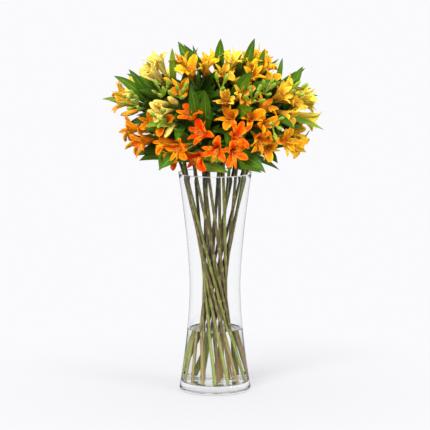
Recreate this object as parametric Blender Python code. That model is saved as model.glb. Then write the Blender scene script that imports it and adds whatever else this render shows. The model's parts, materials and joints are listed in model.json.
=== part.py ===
"""Alstroemeria in a tall waisted glass vase, with the feet of its stems in water.

Metres, +Z up, origin at the middle of the vase's underside, the front facing -Y.
The stems stand in a ring on the vase's floor and lean across each other, all the same way round, so
the bundle is waisted as the vase is. Each stem and its leaves are one green solid, and the head of
flowers on its top is a second one. Flowers and leaves try places drawn by a seeded rule and take the
first one that is clear of all that stands already.
"""

import math
import random
from collections import namedtuple

import bmesh
import bpy
from mathutils import Vector
from mathutils.bvhtree import BVHTree

# Vase: outer radius falls from the foot to the waist and rises again to the rim
VASE_HEIGHT = 0.400
WAIST_HEIGHT = 0.192
WAIST_RADIUS = 0.046
FOOT_FLARE = 0.020
FOOT_POWER = 1.7
RIM_FLARE = 0.0205
RIM_POWER = 1.5
WALL = 0.003
RIM_WALL = 0.0025
FLOOR = 0.015
FLOOR_ROUND = 0.006
FOOT_ROUND = 0.005
LATHE_STEPS = 32
OUTER_HEIGHTS = (0.030, 0.070, 0.120, 0.190, 0.255, 0.320, 0.370)

# Water
WATER_LEVEL = 0.113
GAP = 0.0003

# Stems: a ring of outer ones and a ring of inner ones, each leaning across the vase by the same turn
STEM_RADIUS = 0.0029
STEM_SIDES = 6
STEM_TURN = math.radians(-140)
FOOT_LIFT = 0.0012
OUTER_FOOT = 0.0485
OUTER_RIM = 0.0575
OUTER_START = math.radians(27)
INNER_FOOT = 0.022
INNER_RIM = 0.025
INNER_START = 0.0
STEM_BOW = 0.0015
STEM_WANDER = 0.0008
STEM_STATIONS = (0, 0.5, 1, 1.3, 1.65, 2)

# Heads of flowers
HUB_RADIUS = 0.0045
HUB_CLEAR = 0.0004
PEDICEL_RADIUS = 0.0015
BASE_RADIUS = 0.0019
OUTER_TEPAL = 0.050
INNER_TEPAL = 0.053
OUTER_HALF_WIDTH = 0.0098
INNER_HALF_WIDTH = 0.0060
TEPAL_THICKNESS = 0.0008
TEPAL_START = math.radians(6)
TEPAL_CURL = 1.6
TEPAL_FLARE = math.radians(82)
INNER_FLARE = 0.82
THROAT_SHARE = 0.34
WIDE_SHARE = 0.70
BUD_LENGTH = 0.037
BUD_RADIUS = 0.0062
YOUNG_LENGTH = 0.016
YOUNG_RADIUS = 0.0036
GOLDEN_TURN = math.radians(137.5)
# From a flower's base to its middle, the shortest stalk, and how far attempts stray from the rule
FLOWER_MIDDLE = 0.025
SHORTEST_STALK = 0.020
STRAY_FIRST = 0.10
STRAY_STEP = 0.012
# The widest a tepal's half may be, as a share of its distance from the flower's axis
OUTER_SHARE = 0.62
INNER_SHARE = 0.36

# Leaves
LEAF_HALF_THICKNESS = 0.0004
LEAF_STATIONS = (0.0, 0.30, 0.64)
LEAF_ROOT_HALF_WIDTH = 0.0016
LEAF_FOLD = 0.16
LEAF_REACH = 0.082
LEAF_LENGTHS = (0.062, 0.088)
LEAF_HALF_WIDTHS = (0.0075, 0.0115)
WHORL_BELOW = (0.013, 0.016, 0.019, 0.034, 0.050)

# Everything above the rim stays inside this rounded body
BOUQUET_MIDDLE = Vector((0.0, 0.0, 0.513))
BOUQUET_HALF = Vector((0.206, 0.194, 0.134))

# Room between pieces, and the share of a stalk or leaf that may touch its neighbours on the same stem
CLEAR = 0.0004
STALKS_APART = 0.25
LEAVES_APART = 0.10
TRIES = 70

Head = namedtuple("Head", "name ring hub middle open buds young spread flare tint")

# hub: where the head's stalks meet; middle: the middle of its flowers; spread and flare: how far the
# stalks fan out and the flowers open, from 0 to 1
HEADS = (
    Head("front_low", "outer", (0.018, -0.080, 0.458), (0.021, -0.132, 0.453),
         5, 0, 0, 0.85, 0.86, "scarlet"),
    Head("front_low_left", "outer", (-0.026, -0.078, 0.462), (-0.048, -0.128, 0.458),
         5, 0, 0, 0.90, 0.80, "vermilion"),
    Head("left_low", "outer", (-0.078, -0.022, 0.466), (-0.140, -0.048, 0.472),
         6, 0, 0, 1.00, 0.78, "orange"),
    Head("right_low", "outer", (0.088, -0.026, 0.464), (0.136, -0.055, 0.458),
         6, 0, 0, 1.05, 0.76, "amber"),
    Head("front_right", "outer", (0.056, -0.070, 0.490), (0.078, -0.112, 0.502),
         5, 0, 0, 0.95, 0.82, "orange"),
    Head("front_high", "outer", (0.026, -0.066, 0.520), (0.028, -0.112, 0.532),
         3, 1, 1, 0.85, 0.60, "apricot"),
    Head("front_left", "outer", (-0.056, -0.068, 0.522), (-0.096, -0.106, 0.522),
         1, 3, 1, 0.80, 0.34, "cream"),
    Head("crown_left", "inner", (-0.030, -0.030, 0.546), (-0.052, -0.058, 0.590),
         4, 1, 0, 0.85, 0.66, "amber"),
    Head("left_high", "outer", (-0.072, -0.008, 0.536), (-0.114, -0.020, 0.586),
         5, 0, 0, 0.85, 0.44, "cream"),
    Head("crown_front", "inner", (0.008, 0.000, 0.552), (0.014, -0.030, 0.600),
         4, 2, 0, 0.90, 0.50, "yellow"),
    Head("crown_right", "inner", (0.048, 0.004, 0.548), (0.078, -0.018, 0.592),
         5, 0, 0, 0.90, 0.70, "amber"),
    Head("right_high", "outer", (0.082, -0.034, 0.522), (0.126, -0.062, 0.542),
         4, 0, 2, 0.85, 0.66, "apricot"),
    Head("right_tip", "outer", (0.112, 0.006, 0.522), (0.168, 0.000, 0.527),
         3, 2, 1, 0.90, 0.56, "yellow"),
    Head("left_tip", "outer", (-0.108, 0.002, 0.520), (-0.165, -0.008, 0.532),
         2, 2, 2, 0.80, 0.50, "apricot"),
    Head("back_left_low", "outer", (-0.066, 0.062, 0.470), (-0.110, 0.104, 0.474),
         4, 1, 0, 1.00, 0.78, "orange"),
    Head("back_right_low", "outer", (0.070, 0.058, 0.470), (0.114, 0.100, 0.474),
         5, 0, 0, 1.00, 0.78, "amber"),
    Head("back_middle", "outer", (0.000, 0.085, 0.484), (0.002, 0.140, 0.490),
         4, 1, 0, 0.95, 0.80, "scarlet"),
    Head("back_left_high", "inner", (-0.045, 0.056, 0.532), (-0.074, 0.096, 0.566),
         3, 2, 1, 0.95, 0.50, "cream"),
    Head("back_right_high", "inner", (0.040, 0.058, 0.532), (0.062, 0.098, 0.568),
         4, 1, 1, 0.95, 0.70, "orange"),
)

# Tips of the leaves that stand out of the mass of flowers, each with the leaf's half width
LEAF_TIPS = (
    ((-0.042, -0.122, 0.566), 0.0115),
    ((-0.018, -0.126, 0.560), 0.0120),
    ((0.018, -0.122, 0.545), 0.0090),
    ((0.064, -0.095, 0.586), 0.0130),
    ((0.108, -0.070, 0.566), 0.0110),
    ((0.066, -0.128, 0.526), 0.0110),
    ((-0.125, -0.108, 0.494), 0.0110),
    ((-0.099, -0.088, 0.414), 0.0130),
    ((0.084, -0.078, 0.409), 0.0130),
    ((0.026, -0.092, 0.414), 0.0100),
    ((-0.066, -0.020, 0.634), 0.0090),
    ((-0.038, -0.010, 0.626), 0.0050),
    ((0.010, -0.012, 0.640), 0.0110),
    ((0.071, -0.010, 0.640), 0.0090),
    ((0.092, 0.000, 0.622), 0.0060),
    ((0.114, 0.010, 0.606), 0.0070),
    ((0.156, 0.012, 0.588), 0.0110),
    ((0.186, 0.020, 0.536), 0.0060),
    ((-0.182, -0.010, 0.570), 0.0110),
    ((-0.154, 0.000, 0.584), 0.0100),
    ((-0.200, 0.005, 0.532), 0.0080),
    ((-0.136, -0.050, 0.427), 0.0100),
    ((-0.108, -0.060, 0.430), 0.0080),
    ((0.186, -0.020, 0.474), 0.0070),
    ((0.139, -0.040, 0.402), 0.0060),
    ((0.116, -0.088, 0.513), 0.0110),
    ((-0.100, -0.084, 0.557), 0.0080),
    ((-0.077, -0.060, 0.584), 0.0090),
    ((-0.139, -0.040, 0.555), 0.0110),
)
LEAVES_PER_STEM = 4

TINTS = {
    "scarlet": (0.86, 0.10, 0.005),
    "vermilion": (0.88, 0.16, 0.006),
    "orange": (0.88, 0.23, 0.008),
    "amber": (0.88, 0.33, 0.012),
    "apricot": (0.88, 0.38, 0.06),
    "yellow": (0.88, 0.50, 0.03),
    "cream": (0.86, 0.60, 0.14),
}
LEAF_GREEN = (0.035, 0.13, 0.012)


def clear_scene():
    for old in list(bpy.data.objects):
        bpy.data.objects.remove(old)


def finish(name, colour, roughness, alpha=1.0):
    """A Principled material."""
    made = bpy.data.materials.new(name)
    made.use_nodes = True
    shader = made.node_tree.nodes["Principled BSDF"]
    shader.inputs["Base Color"].default_value = (*colour, 1.0)
    shader.inputs["Roughness"].default_value = roughness
    shader.inputs["Alpha"].default_value = alpha
    return made


def add_object(name, points, faces, material):
    """A new object from points and faces, with its faces turned outwards."""
    mesh = bpy.data.meshes.new(name)
    mesh.from_pydata([tuple(p) for p in points], [], faces)
    editable = bmesh.new()
    editable.from_mesh(mesh)
    bmesh.ops.recalc_face_normals(editable, faces=editable.faces)
    bmesh.ops.triangulate(editable, faces=[f for f in editable.faces if len(f.verts) > 3])
    editable.to_mesh(mesh)
    editable.free()
    mesh.materials.append(material)
    made = bpy.data.objects.new(name, mesh)
    bpy.context.scene.collection.objects.link(made)
    return made


def shaded_smooth(made, degrees):
    made.data.shade_smooth()
    made.data.set_sharp_from_angle(angle=math.radians(degrees))


def combine(target, others, operation):
    """One Boolean of the others with target, applied, with the others then removed."""
    if not others:
        return
    group = bpy.data.collections.new(target.name + "_others")
    bpy.context.scene.collection.children.link(group)
    for other in others:
        bpy.context.scene.collection.objects.unlink(other)
        group.objects.link(other)
    change = target.modifiers.new("combine", "BOOLEAN")
    change.operation = operation
    change.operand_type = "COLLECTION"
    change.collection = group
    with bpy.context.temp_override(object=target, active_object=target, selected_objects=[target]):
        bpy.ops.object.modifier_apply(modifier=change.name)
    for other in others:
        bpy.data.objects.remove(other)
    bpy.data.collections.remove(group)


def bridge(first, second):
    """Triangles between two closed rings of point numbers that start at the same angle."""
    faces = []
    i = j = 0
    while i < len(first) or j < len(second):
        a, b = first[i % len(first)], second[j % len(second)]
        if j == len(second) or (i < len(first) and (i + 1) * len(second) <= (j + 1) * len(first)):
            faces.append((a, first[(i + 1) % len(first)], b))
            i += 1
        else:
            faces.append((a, second[(j + 1) % len(second)], b))
            j += 1
    return faces


def frame_of(axis, roll=0.0):
    """Two unit vectors square to axis, right-handed with it, turned about it by roll."""
    helper = Vector((0, 0, 1)) if abs(axis.z) < 0.9 else Vector((1, 0, 0))
    side = helper.cross(axis).normalized()
    other = axis.cross(side)
    return (
        side * math.cos(roll) + other * math.sin(roll),
        other * math.cos(roll) - side * math.sin(roll),
    )


def vase_radius(height):
    """Outer radius: the waist's, plus a power curve down to the foot and one up to the rim."""
    if height < WAIST_HEIGHT:
        return WAIST_RADIUS + FOOT_FLARE * ((WAIST_HEIGHT - height) / WAIST_HEIGHT) ** FOOT_POWER
    rise = (height - WAIST_HEIGHT) / (VASE_HEIGHT - WAIST_HEIGHT)
    return WAIST_RADIUS + RIM_FLARE * rise**RIM_POWER


def inner_radius(height):
    return vase_radius(height) - WALL


def lathe(profile):
    """Points and faces turned from (radius, height) pairs that start and end on the axis."""
    points = [(0, 0, profile[0][1])]
    rings = []
    for radius, height in profile[1:-1]:
        rings.append(range(len(points), len(points) + LATHE_STEPS))
        for step in range(LATHE_STEPS):
            angle = math.tau * step / LATHE_STEPS
            points.append((radius * math.cos(angle), radius * math.sin(angle), height))
    points.append((0, 0, profile[-1][1]))
    faces = []
    for step in range(LATHE_STEPS):
        after = (step + 1) % LATHE_STEPS
        faces.append((0, rings[0][after], rings[0][step]))
        faces.append((len(points) - 1, rings[-1][step], rings[-1][after]))
        for lower, upper in zip(rings, rings[1:]):
            faces.append((lower[step], lower[after], upper[after], upper[step]))
    return points, faces


def floor_round(radius, height):
    """The quarter round from the floor into the wall, as (radius, height) pairs."""
    turns = (math.radians(t) for t in (0, 45))
    return [
        (radius - FLOOR_ROUND * (1 - math.sin(t)), height + FLOOR_ROUND * (1 - math.cos(t)))
        for t in turns
    ]


def vase_profile():
    outside = [(0, 0), (vase_radius(0) - FOOT_ROUND, 0)]
    outside += [(vase_radius(0) - 0.3 * FOOT_ROUND, 0.3 * FOOT_ROUND), (vase_radius(FOOT_ROUND), FOOT_ROUND)]
    outside += [(vase_radius(z), z) for z in OUTER_HEIGHTS]
    rim = vase_radius(VASE_HEIGHT)
    outside += [(rim, VASE_HEIGHT - 0.0008), (rim - 0.0007, VASE_HEIGHT)]
    inside = [(rim - RIM_WALL + 0.0007, VASE_HEIGHT), (rim - RIM_WALL, VASE_HEIGHT - 0.0008)]
    inside += [(inner_radius(z), z) for z in reversed(OUTER_HEIGHTS)]
    inside += list(reversed(floor_round(inner_radius(FLOOR + FLOOR_ROUND), FLOOR)))
    return outside + inside + [(0, FLOOR)]


def water_profile():
    """The space in the vase up to the water's level, drawn in by the gap on every side."""
    wet = [z for z in OUTER_HEIGHTS if z < WATER_LEVEL - 0.005] + [WATER_LEVEL]
    low = floor_round(inner_radius(FLOOR + FLOOR_ROUND) - GAP, FLOOR + GAP)
    return [(0, FLOOR + GAP)] + low + [(inner_radius(z) - GAP, z) for z in wet] + [(0, WATER_LEVEL)]


def ring_of(heads, ring):
    """The heads of one ring in order round the vase, so that their stems don't cross above it."""
    return sorted(
        (h for h in heads if h.ring == ring),
        key=lambda h: math.atan2(h.hub[1], h.hub[0]) % math.tau,
    )


def stem_ends(head):
    """Foot and rim points of a head's stem."""
    outer = head.ring == "outer"
    ring = [h.name for h in ring_of(HEADS, head.ring)]
    start, foot, rim = (
        (OUTER_START, OUTER_FOOT, OUTER_RIM) if outer else (INNER_START, INNER_FOOT, INNER_RIM)
    )
    draw = random.Random(f"stem {head.name}")
    top = start + math.tau * (ring.index(head.name) + draw.uniform(-0.05, 0.05)) / len(ring)
    low = top - STEM_TURN + draw.uniform(-0.03, 0.03)
    foot += draw.uniform(-1, 1) * STEM_WANDER
    rim += draw.uniform(-1, 1) * STEM_WANDER
    return (
        Vector((foot * math.cos(low), foot * math.sin(low), FLOOR + FOOT_LIFT)),
        Vector((rim * math.cos(top), rim * math.sin(top), VASE_HEIGHT)),
    )


def stem_top(head):
    """Where the stem ends, just short of the head's hub, and its direction there."""
    _, rim = stem_ends(head)
    hub = Vector(head.hub)
    heading = ((hub - rim).normalized() + Vector((0, 0, 0.5))).normalized()
    return hub - heading * (HUB_RADIUS + HUB_CLEAR), heading


def stem_point(head, share):
    """A point on the stem: straight with a slight bow up to the rim (share 0 to 1), and from there a
    curve that leaves in the stem's own direction and ends in the head's (share 1 to 2)."""
    foot, rim = stem_ends(head)
    if share <= 1:
        middle = (foot + rim) / 2
        out = Vector((middle.x, middle.y, 0)).normalized()
        return foot.lerp(rim, share) + out * STEM_BOW * 4 * share * (1 - share)
    top, heading = stem_top(head)
    t = share - 1
    reach = (top - rim).length
    first = rim + (rim - foot).normalized() * reach * 0.35
    last = top - heading * reach * 0.35
    return rim * (1 - t) ** 3 + first * 3 * t * (1 - t) ** 2 + last * 3 * t * t * (1 - t) + top * t**3


def tube(path, radius, sides):
    """Points and faces of a closed tube along the path."""
    points, faces, rings = [], [], []
    for number, middle in enumerate(path):
        before, after = path[max(number - 1, 0)], path[min(number + 1, len(path) - 1)]
        axis = (after - before).normalized()
        side = Vector((1, 0, 0)) - axis * axis.x
        side.normalize()
        other = axis.cross(side)
        rings.append(list(range(len(points), len(points) + sides)))
        for step in range(sides):
            angle = math.tau * step / sides
            points.append(middle + (side * math.cos(angle) + other * math.sin(angle)) * radius)
    for lower, upper in zip(rings, rings[1:]):
        for step in range(sides):
            after = (step + 1) % sides
            faces.append((lower[step], lower[after], upper[after], upper[step]))
    return points, faces + [tuple(reversed(rings[0])), tuple(rings[-1])]


def stem_path(head):
    return [stem_point(head, share) for share in STEM_STATIONS]


def tepal_line(length, flare, share):
    """Radius, height and lean of a tepal's middle line at a share of its length. The line leaves the
    flower's axis at a small angle, and leans away from it faster towards the tip."""
    steps = 24
    radius, height = BASE_RADIUS, 0.0
    for step in range(steps):
        at = share * (step + 0.5) / steps
        lean = TEPAL_START + flare * at**TEPAL_CURL
        radius += math.sin(lean) * share * length / steps
        height += math.cos(lean) * share * length / steps
    return radius, height, TEPAL_START + flare * share**TEPAL_CURL


Floret = namedtuple("Floret", "kind hub bend base facing roll size flare")


def floret_pose(head, number, attempt):
    """Where the head's flower of this number goes on this attempt. Stalks leave the hub in a spiral of
    golden turns round the head's direction, and later attempts stray further from it."""
    total = head.open + head.buds + head.young
    kind = "open" if number < head.open else "bud" if number < head.open + head.buds else "young"
    draw = random.Random(f"{head.name} {number} {attempt}")
    stray = STRAY_FIRST + STRAY_STEP * attempt
    hub = Vector(head.hub)
    reach = Vector(head.middle) - hub
    aim = reach.normalized()
    side, other = frame_of(aim)
    away = head.spread * math.sqrt((number + 0.4) / total) + draw.uniform(-1, 1) * stray
    turn = GOLDEN_TURN * number + draw.uniform(-1, 1) * stray * 2
    ray = aim * math.cos(away) + (side * math.cos(turn) + other * math.sin(turn)) * math.sin(away)
    length = max(reach.length - FLOWER_MIDDLE, SHORTEST_STALK)
    length *= (0.75 if kind == "young" else 1.0) * (1 + draw.uniform(-0.15, 0.15) + STRAY_STEP * attempt / 2)
    outward = (hub + ray * 0.05 - BOUQUET_MIDDLE).normalized()
    facing = (ray * 1.5 + outward * 0.7 + Vector((0, 0, draw.uniform(-0.35, 0.15)))).normalized()
    bend = hub + ray * length * 0.6
    return Floret(
        kind,
        hub,
        bend,
        bend + facing * length * 0.4,
        facing,
        draw.uniform(0, math.tau),
        draw.uniform(0.92, 1.06),
        head.flare + draw.uniform(-0.12, 0.12),
    )


def stalk_point(pose, share):
    return pose.hub * (1 - share) ** 2 + pose.bend * 2 * share * (1 - share) + pose.base * share**2


def stalk_rings(pose, start, grow):
    """The three-sided stalk from the hub to the flower's base, closed at the hub's end."""
    points, faces, rings = [], [], []
    side, _ = frame_of(pose.facing, pose.roll)
    for share in (start, (1 + start) / 2, 1.0):
        axis = (stalk_point(pose, share + 0.01) - stalk_point(pose, share - 0.01)).normalized()
        first = (side - axis * side.dot(axis)).normalized()
        second = axis.cross(first)
        radius = PEDICEL_RADIUS + (BASE_RADIUS - PEDICEL_RADIUS) * share + grow
        rings.append(list(range(len(points), len(points) + 3)))
        for step in range(3):
            angle = math.tau * step / 3
            arm = first * math.cos(angle) + second * math.sin(angle)
            points.append(stalk_point(pose, share) + arm * radius)
    for lower, upper in zip(rings, rings[1:]):
        faces += bridge(lower, upper)
    faces.append(tuple(reversed(rings[0])))
    return points, faces, rings[-1]


def tepal_size(pose, number):
    """Length, half width and flare of a flower's tepal: the even ones are the broad outer three."""
    flare = TEPAL_FLARE * pose.flare
    if number % 2 == 0:
        return OUTER_TEPAL * pose.size, OUTER_HALF_WIDTH * pose.size, flare
    return INNER_TEPAL * pose.size, INNER_HALF_WIDTH * pose.size, flare * INNER_FLARE


def open_flower(pose, start=0.0, grow=0.0):
    """A closed skin: stalk, throat and six pointed blades round the throat's edge, each flat on the
    side that faces into the flower and ridged behind."""
    points, faces, neck = stalk_rings(pose, start, grow)
    side, other = frame_of(pose.facing, pose.roll)

    def place(angle, radius, height):
        out = side * math.cos(angle) + other * math.sin(angle)
        points.append(pose.base + out * radius + pose.facing * height)
        return len(points) - 1

    sixth = math.tau / 6
    throat, depth, _ = tepal_line(OUTER_TEPAL * pose.size, TEPAL_FLARE * pose.flare * 0.9, THROAT_SHARE)
    notches = [place((k - 0.5) * sixth, throat, depth) for k in range(6)]
    ridges = [place(k * sixth, throat + grow, depth) for k in range(6)]
    well = place(0, 0, depth * 0.45)
    edge = []
    for k in range(6):
        edge += [ridges[k], notches[(k + 1) % 6]]
    faces += bridge(neck, edge)
    for k in range(6):
        left, right, ridge = notches[k], notches[(k + 1) % 6], ridges[k]
        length, half_width, flare = tepal_size(pose, k)
        radius, height, lean = tepal_line(length, flare, WIDE_SHARE)
        share = OUTER_SHARE if k % 2 == 0 else INNER_SHARE
        half_width = min(half_width, radius * share) + grow
        tip_radius, tip_height, _ = tepal_line(length, flare, 1.0)
        angle = k * sixth
        spread = math.atan2(half_width, radius)
        rim = math.hypot(half_width, radius)
        wide_left = place(angle - spread, rim, height)
        wide_right = place(angle + spread, rim, height)
        thick = TEPAL_THICKNESS + grow
        back = place(angle, radius + thick * math.cos(lean), height - thick * math.sin(lean))
        tip = place(angle, tip_radius, tip_height)
        faces += [(left, right, well), (left, wide_right, right), (left, wide_left, wide_right)]
        faces += [(wide_left, tip, wide_right), (left, ridge, wide_left), (ridge, back, wide_left)]
        faces += [(ridge, right, wide_right), (ridge, wide_right, back)]
        faces += [(wide_left, back, tip), (back, wide_right, tip)]
    return points, faces


def closed_bud(pose, start=0.0, grow=0.0):
    """A stalk and a five-sided spindle."""
    points, faces, neck = stalk_rings(pose, start, grow)
    side, other = frame_of(pose.facing, pose.roll)
    length, radius = (BUD_LENGTH, BUD_RADIUS) if pose.kind == "bud" else (YOUNG_LENGTH, YOUNG_RADIUS)
    last = neck
    for along, wide in ((0.28, 0.8), (0.66, 1.0)):
        ring = []
        for step in range(5):
            angle = math.tau * step / 5
            out = side * math.cos(angle) + other * math.sin(angle)
            ring.append(len(points))
            points.append(pose.base + out * (radius * wide * pose.size + grow) + pose.facing * length * along)
        faces += bridge(last, ring)
        last = ring
    points.append(pose.base + pose.facing * (length * pose.size + grow))
    return points, faces + [(last[k], last[(k + 1) % 5], len(points) - 1) for k in range(5)]


def flower(pose, start=0.0, grow=0.0):
    return (open_flower if pose.kind == "open" else closed_bud)(pose, start, grow)


Leaf = namedtuple("Leaf", "head root bend tip across half_width")


def stem_below(head, below):
    """The point on the stem's upper curve that lies this far below its top."""
    rim, top = stem_point(head, 1), stem_point(head, 2)
    return stem_point(head, 2 - below / (top - rim).length)


def leaf_towards(head, below, tip, half_width, draw):
    """A leaf from the head's stem to a tip: it leaves the stem steeply and arches over, and its broad
    face looks out of the bouquet."""
    root = stem_below(head, below)
    _, heading = stem_top(head)
    chord = tip - root
    bend = root + chord * 0.45 + heading * chord.length * draw.uniform(0.10, 0.22)
    outward = ((root + tip) / 2 - BOUQUET_MIDDLE + Vector((0, 0, 0.04))).normalized()
    across = chord.cross(outward).normalized()
    roll = draw.uniform(-0.5, 0.5)
    across = across * math.cos(roll) + chord.normalized().cross(across) * math.sin(roll)
    return Leaf(head, root, bend, tip, across, half_width)


def shown_leaf(number, attempt):
    """The leaf whose tip is given by hand, from the stem whose top is nearest a leaf's length away."""
    place, half_width = LEAF_TIPS[number]
    draw = random.Random(f"shown leaf {number} {attempt}")
    stray = 0.001 + 0.0005 * attempt
    tip = Vector(place) + Vector([draw.uniform(-1, 1) * stray for _ in range(3)])
    roots = sorted(
        (abs((tip - stem_below(head, below)).length - LEAF_REACH), head.name, below, head)
        for head in HEADS
        for below in WHORL_BELOW
    )
    _, _, below, head = roots[(attempt // 4) % 12]
    return leaf_towards(head, below, tip, half_width, draw)


def whorl_leaf(head, number, attempt):
    """A leaf of the whorl under a head, in golden turns round the stem."""
    draw = random.Random(f"leaf {head.name} {number} {attempt}")
    stray = 0.2 + 0.03 * attempt
    below = WHORL_BELOW[number % len(WHORL_BELOW)]
    _, heading = stem_top(head)
    aim = (Vector(head.middle) - Vector(head.hub)).normalized()
    axis = (heading * 0.7 + aim * 0.6).normalized()
    side, other = frame_of(axis)
    away = 0.95 + draw.uniform(-1, 1) * stray * 0.6
    turn = GOLDEN_TURN * number + draw.uniform(-1, 1) * stray * 2
    ray = axis * math.cos(away) + (side * math.cos(turn) + other * math.sin(turn)) * math.sin(away)
    tip = stem_below(head, below) + ray * draw.uniform(*LEAF_LENGTHS)
    return leaf_towards(head, below, tip, draw.uniform(*LEAF_HALF_WIDTHS), draw)


def leaf_width(share):
    """Half width along a leaf, 1 at its widest: a power curve from the root times one to the tip."""
    return (share / 0.42) ** 0.75 * ((1 - share) / 0.58) ** 1.03


def leaf_point(leaf, share):
    return leaf.root * (1 - share) ** 2 + leaf.bend * 2 * share * (1 - share) + leaf.tip * share**2


def leaf_blade(leaf, start=0.0, grow=0.0):
    """A blade of four-cornered sections, folded a little along its middle."""
    points, faces, sections = [], [], []
    for number, at in enumerate(LEAF_STATIONS):
        share = max(at, start)
        axis = (leaf_point(leaf, share + 0.01) - leaf_point(leaf, share - 0.01)).normalized()
        across = (leaf.across - axis * leaf.across.dot(axis)).normalized()
        face = across.cross(axis)
        half_width = LEAF_ROOT_HALF_WIDTH if number == 0 else leaf.half_width * leaf_width(share)
        middle = leaf_point(leaf, share) - face * half_width * LEAF_FOLD
        thick = LEAF_HALF_THICKNESS * (2.2 if number == 0 else 1.0) + grow
        edge = across * (half_width + grow) + face * half_width * LEAF_FOLD
        other_edge = -across * (half_width + grow) + face * half_width * LEAF_FOLD
        sections.append(list(range(len(points), len(points) + 4)))
        points += [middle + edge, middle + face * thick, middle + other_edge, middle - face * thick]
    for (a, b, c, d), (e, f, g, h) in zip(sections, sections[1:]):
        faces += [(a, b, e), (b, f, e), (b, c, g), (b, g, f)]
        faces += [(d, a, e), (d, e, h), (c, d, g), (d, h, g)]
    points.append(leaf.tip)
    tip = len(points) - 1
    a, b, c, d = sections[-1]
    faces += [(a, b, tip), (b, c, tip), (c, d, tip), (d, a, tip)]
    a, b, c, d = sections[0]
    return points, faces + [(a, b, d), (b, c, d)]


def inside_bouquet(points):
    """Whether the points above the rim stay in the bouquet's rounded body."""
    for point in points:
        away = point - BOUQUET_MIDDLE
        if sum((away[k] / BOUQUET_HALF[k]) ** 2 for k in range(3)) > 1:
            return False
    return True


class Standing:
    """The pieces that stand already, for testing whether a new one is clear of them."""

    def __init__(self):
        self.pieces = []

    def add(self, owner, points, faces):
        tree = BVHTree.FromPolygons([tuple(p) for p in points], faces)
        self.pieces.append((owner, tree, *self.box(points)))

    def box(self, points):
        low = [min(p[k] for p in points) for k in range(3)]
        high = [max(p[k] for p in points) for k in range(3)]
        return low, high

    def clear(self, points, faces, skip=""):
        tree = BVHTree.FromPolygons([tuple(p) for p in points], faces)
        low, high = self.box(points)
        for owner, other, other_low, other_high in self.pieces:
            if owner == skip:
                continue
            if any(low[k] > other_high[k] or high[k] < other_low[k] for k in range(3)):
                continue
            if tree.overlap(other):
                return False
        return True


def place_flowers(standing):
    """Each head's flowers, at the first attempt that is clear."""
    placed = {}
    for head in HEADS:
        placed[head.name] = []
        for number in range(head.open + head.buds + head.young):
            for attempt in range(TRIES):
                pose = floret_pose(head, number, attempt)
                whole = flower(pose, 0.0, CLEAR)
                away_from_hub = flower(pose, STALKS_APART, CLEAR)
                if (
                    inside_bouquet(whole[0][9:])
                    and standing.clear(*whole, f"flowers {head.name}")
                    and standing.clear(*away_from_hub)
                ):
                    standing.add(f"flowers {head.name}", *flower(pose))
                    placed[head.name].append(pose)
                    break
    return placed


def place_leaves(standing):
    """The leaves given by their tips, and then each stem's whorl, at the first clear attempt."""
    placed = {head.name: [] for head in HEADS}
    makers = [lambda attempt, n=n: shown_leaf(n, attempt) for n in range(len(LEAF_TIPS))]
    for number in range(LEAVES_PER_STEM):
        makers += [lambda attempt, h=h, n=number: whorl_leaf(h, n, attempt) for h in HEADS]
    for make in makers:
        for attempt in range(TRIES):
            leaf = make(attempt)
            if (
                inside_bouquet([leaf.tip, leaf_point(leaf, 0.6)])
                and standing.clear(*leaf_blade(leaf, 0.0, CLEAR), f"stem {leaf.head.name}")
                and standing.clear(*leaf_blade(leaf, LEAVES_APART, CLEAR))
            ):
                standing.add(f"stem {leaf.head.name}", *leaf_blade(leaf))
                placed[leaf.head.name].append(leaf)
                break
    return placed


def hub_ball(head):
    """The knob that a head's stalks grow from, with one of its points down on the stem."""
    ball = bmesh.new()
    bmesh.ops.create_icosphere(ball, subdivisions=1, radius=HUB_RADIUS)
    upright = stem_top(head)[1].to_track_quat("Z", "Y")
    points = [upright @ corner.co + Vector(head.hub) for corner in ball.verts]
    faces = [tuple(corner.index for corner in face.verts) for face in ball.faces]
    ball.free()
    return points, faces


def main():
    clear_scene()
    glass = finish("clear_glass", (0.95, 0.96, 0.97), 0.03, 0.25)
    wet = finish("water", (0.93, 0.96, 0.95), 0.02, 0.25)
    green = finish("leaf_green", LEAF_GREEN, 0.42)
    petals = {tint: finish(f"petal_{tint}", colour, 0.5) for tint, colour in TINTS.items()}

    standing = Standing()
    vase_points, vase_faces = lathe(vase_profile())
    vase = add_object("vase", vase_points, vase_faces, glass)
    shaded_smooth(vase, 40)
    standing.add("vase", vase_points, vase_faces)
    for head in HEADS:
        standing.add(f"stem {head.name}", *tube(stem_path(head), STEM_RADIUS, STEM_SIDES))
        standing.add(f"flowers {head.name}", *hub_ball(head))

    placed_flowers = place_flowers(standing)
    placed_leaves = place_leaves(standing)
    for head in HEADS:
        hub = add_object(f"flowers_{head.name}", *hub_ball(head), petals[head.tint])
        poses = placed_flowers[head.name]
        made = [add_object("flower", *flower(pose), petals[head.tint]) for pose in poses]
        combine(hub, made, "UNION")
        path = stem_path(head)
        stem = add_object(f"stem_{head.name}", *tube(path, STEM_RADIUS, STEM_SIDES), green)
        made = [add_object("leaf", *leaf_blade(leaf), green) for leaf in placed_leaves[head.name]]
        combine(stem, made, "UNION")

    water = add_object("water", *lathe(water_profile()), wet)
    holes = []
    for head in HEADS:
        foot, rim = stem_point(head, 0), stem_point(head, 0.5)
        run = [foot + (foot - rim) * 0.05, foot, rim]
        holes.append(add_object("hole", *tube(run, STEM_RADIUS + GAP, STEM_SIDES), wet))
    combine(water, holes, "DIFFERENCE")
    shaded_smooth(water, 40)
    for head in HEADS:
        print(head.name, len(placed_flowers[head.name]), "flowers", len(placed_leaves[head.name]), "leaves")


main()
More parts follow.
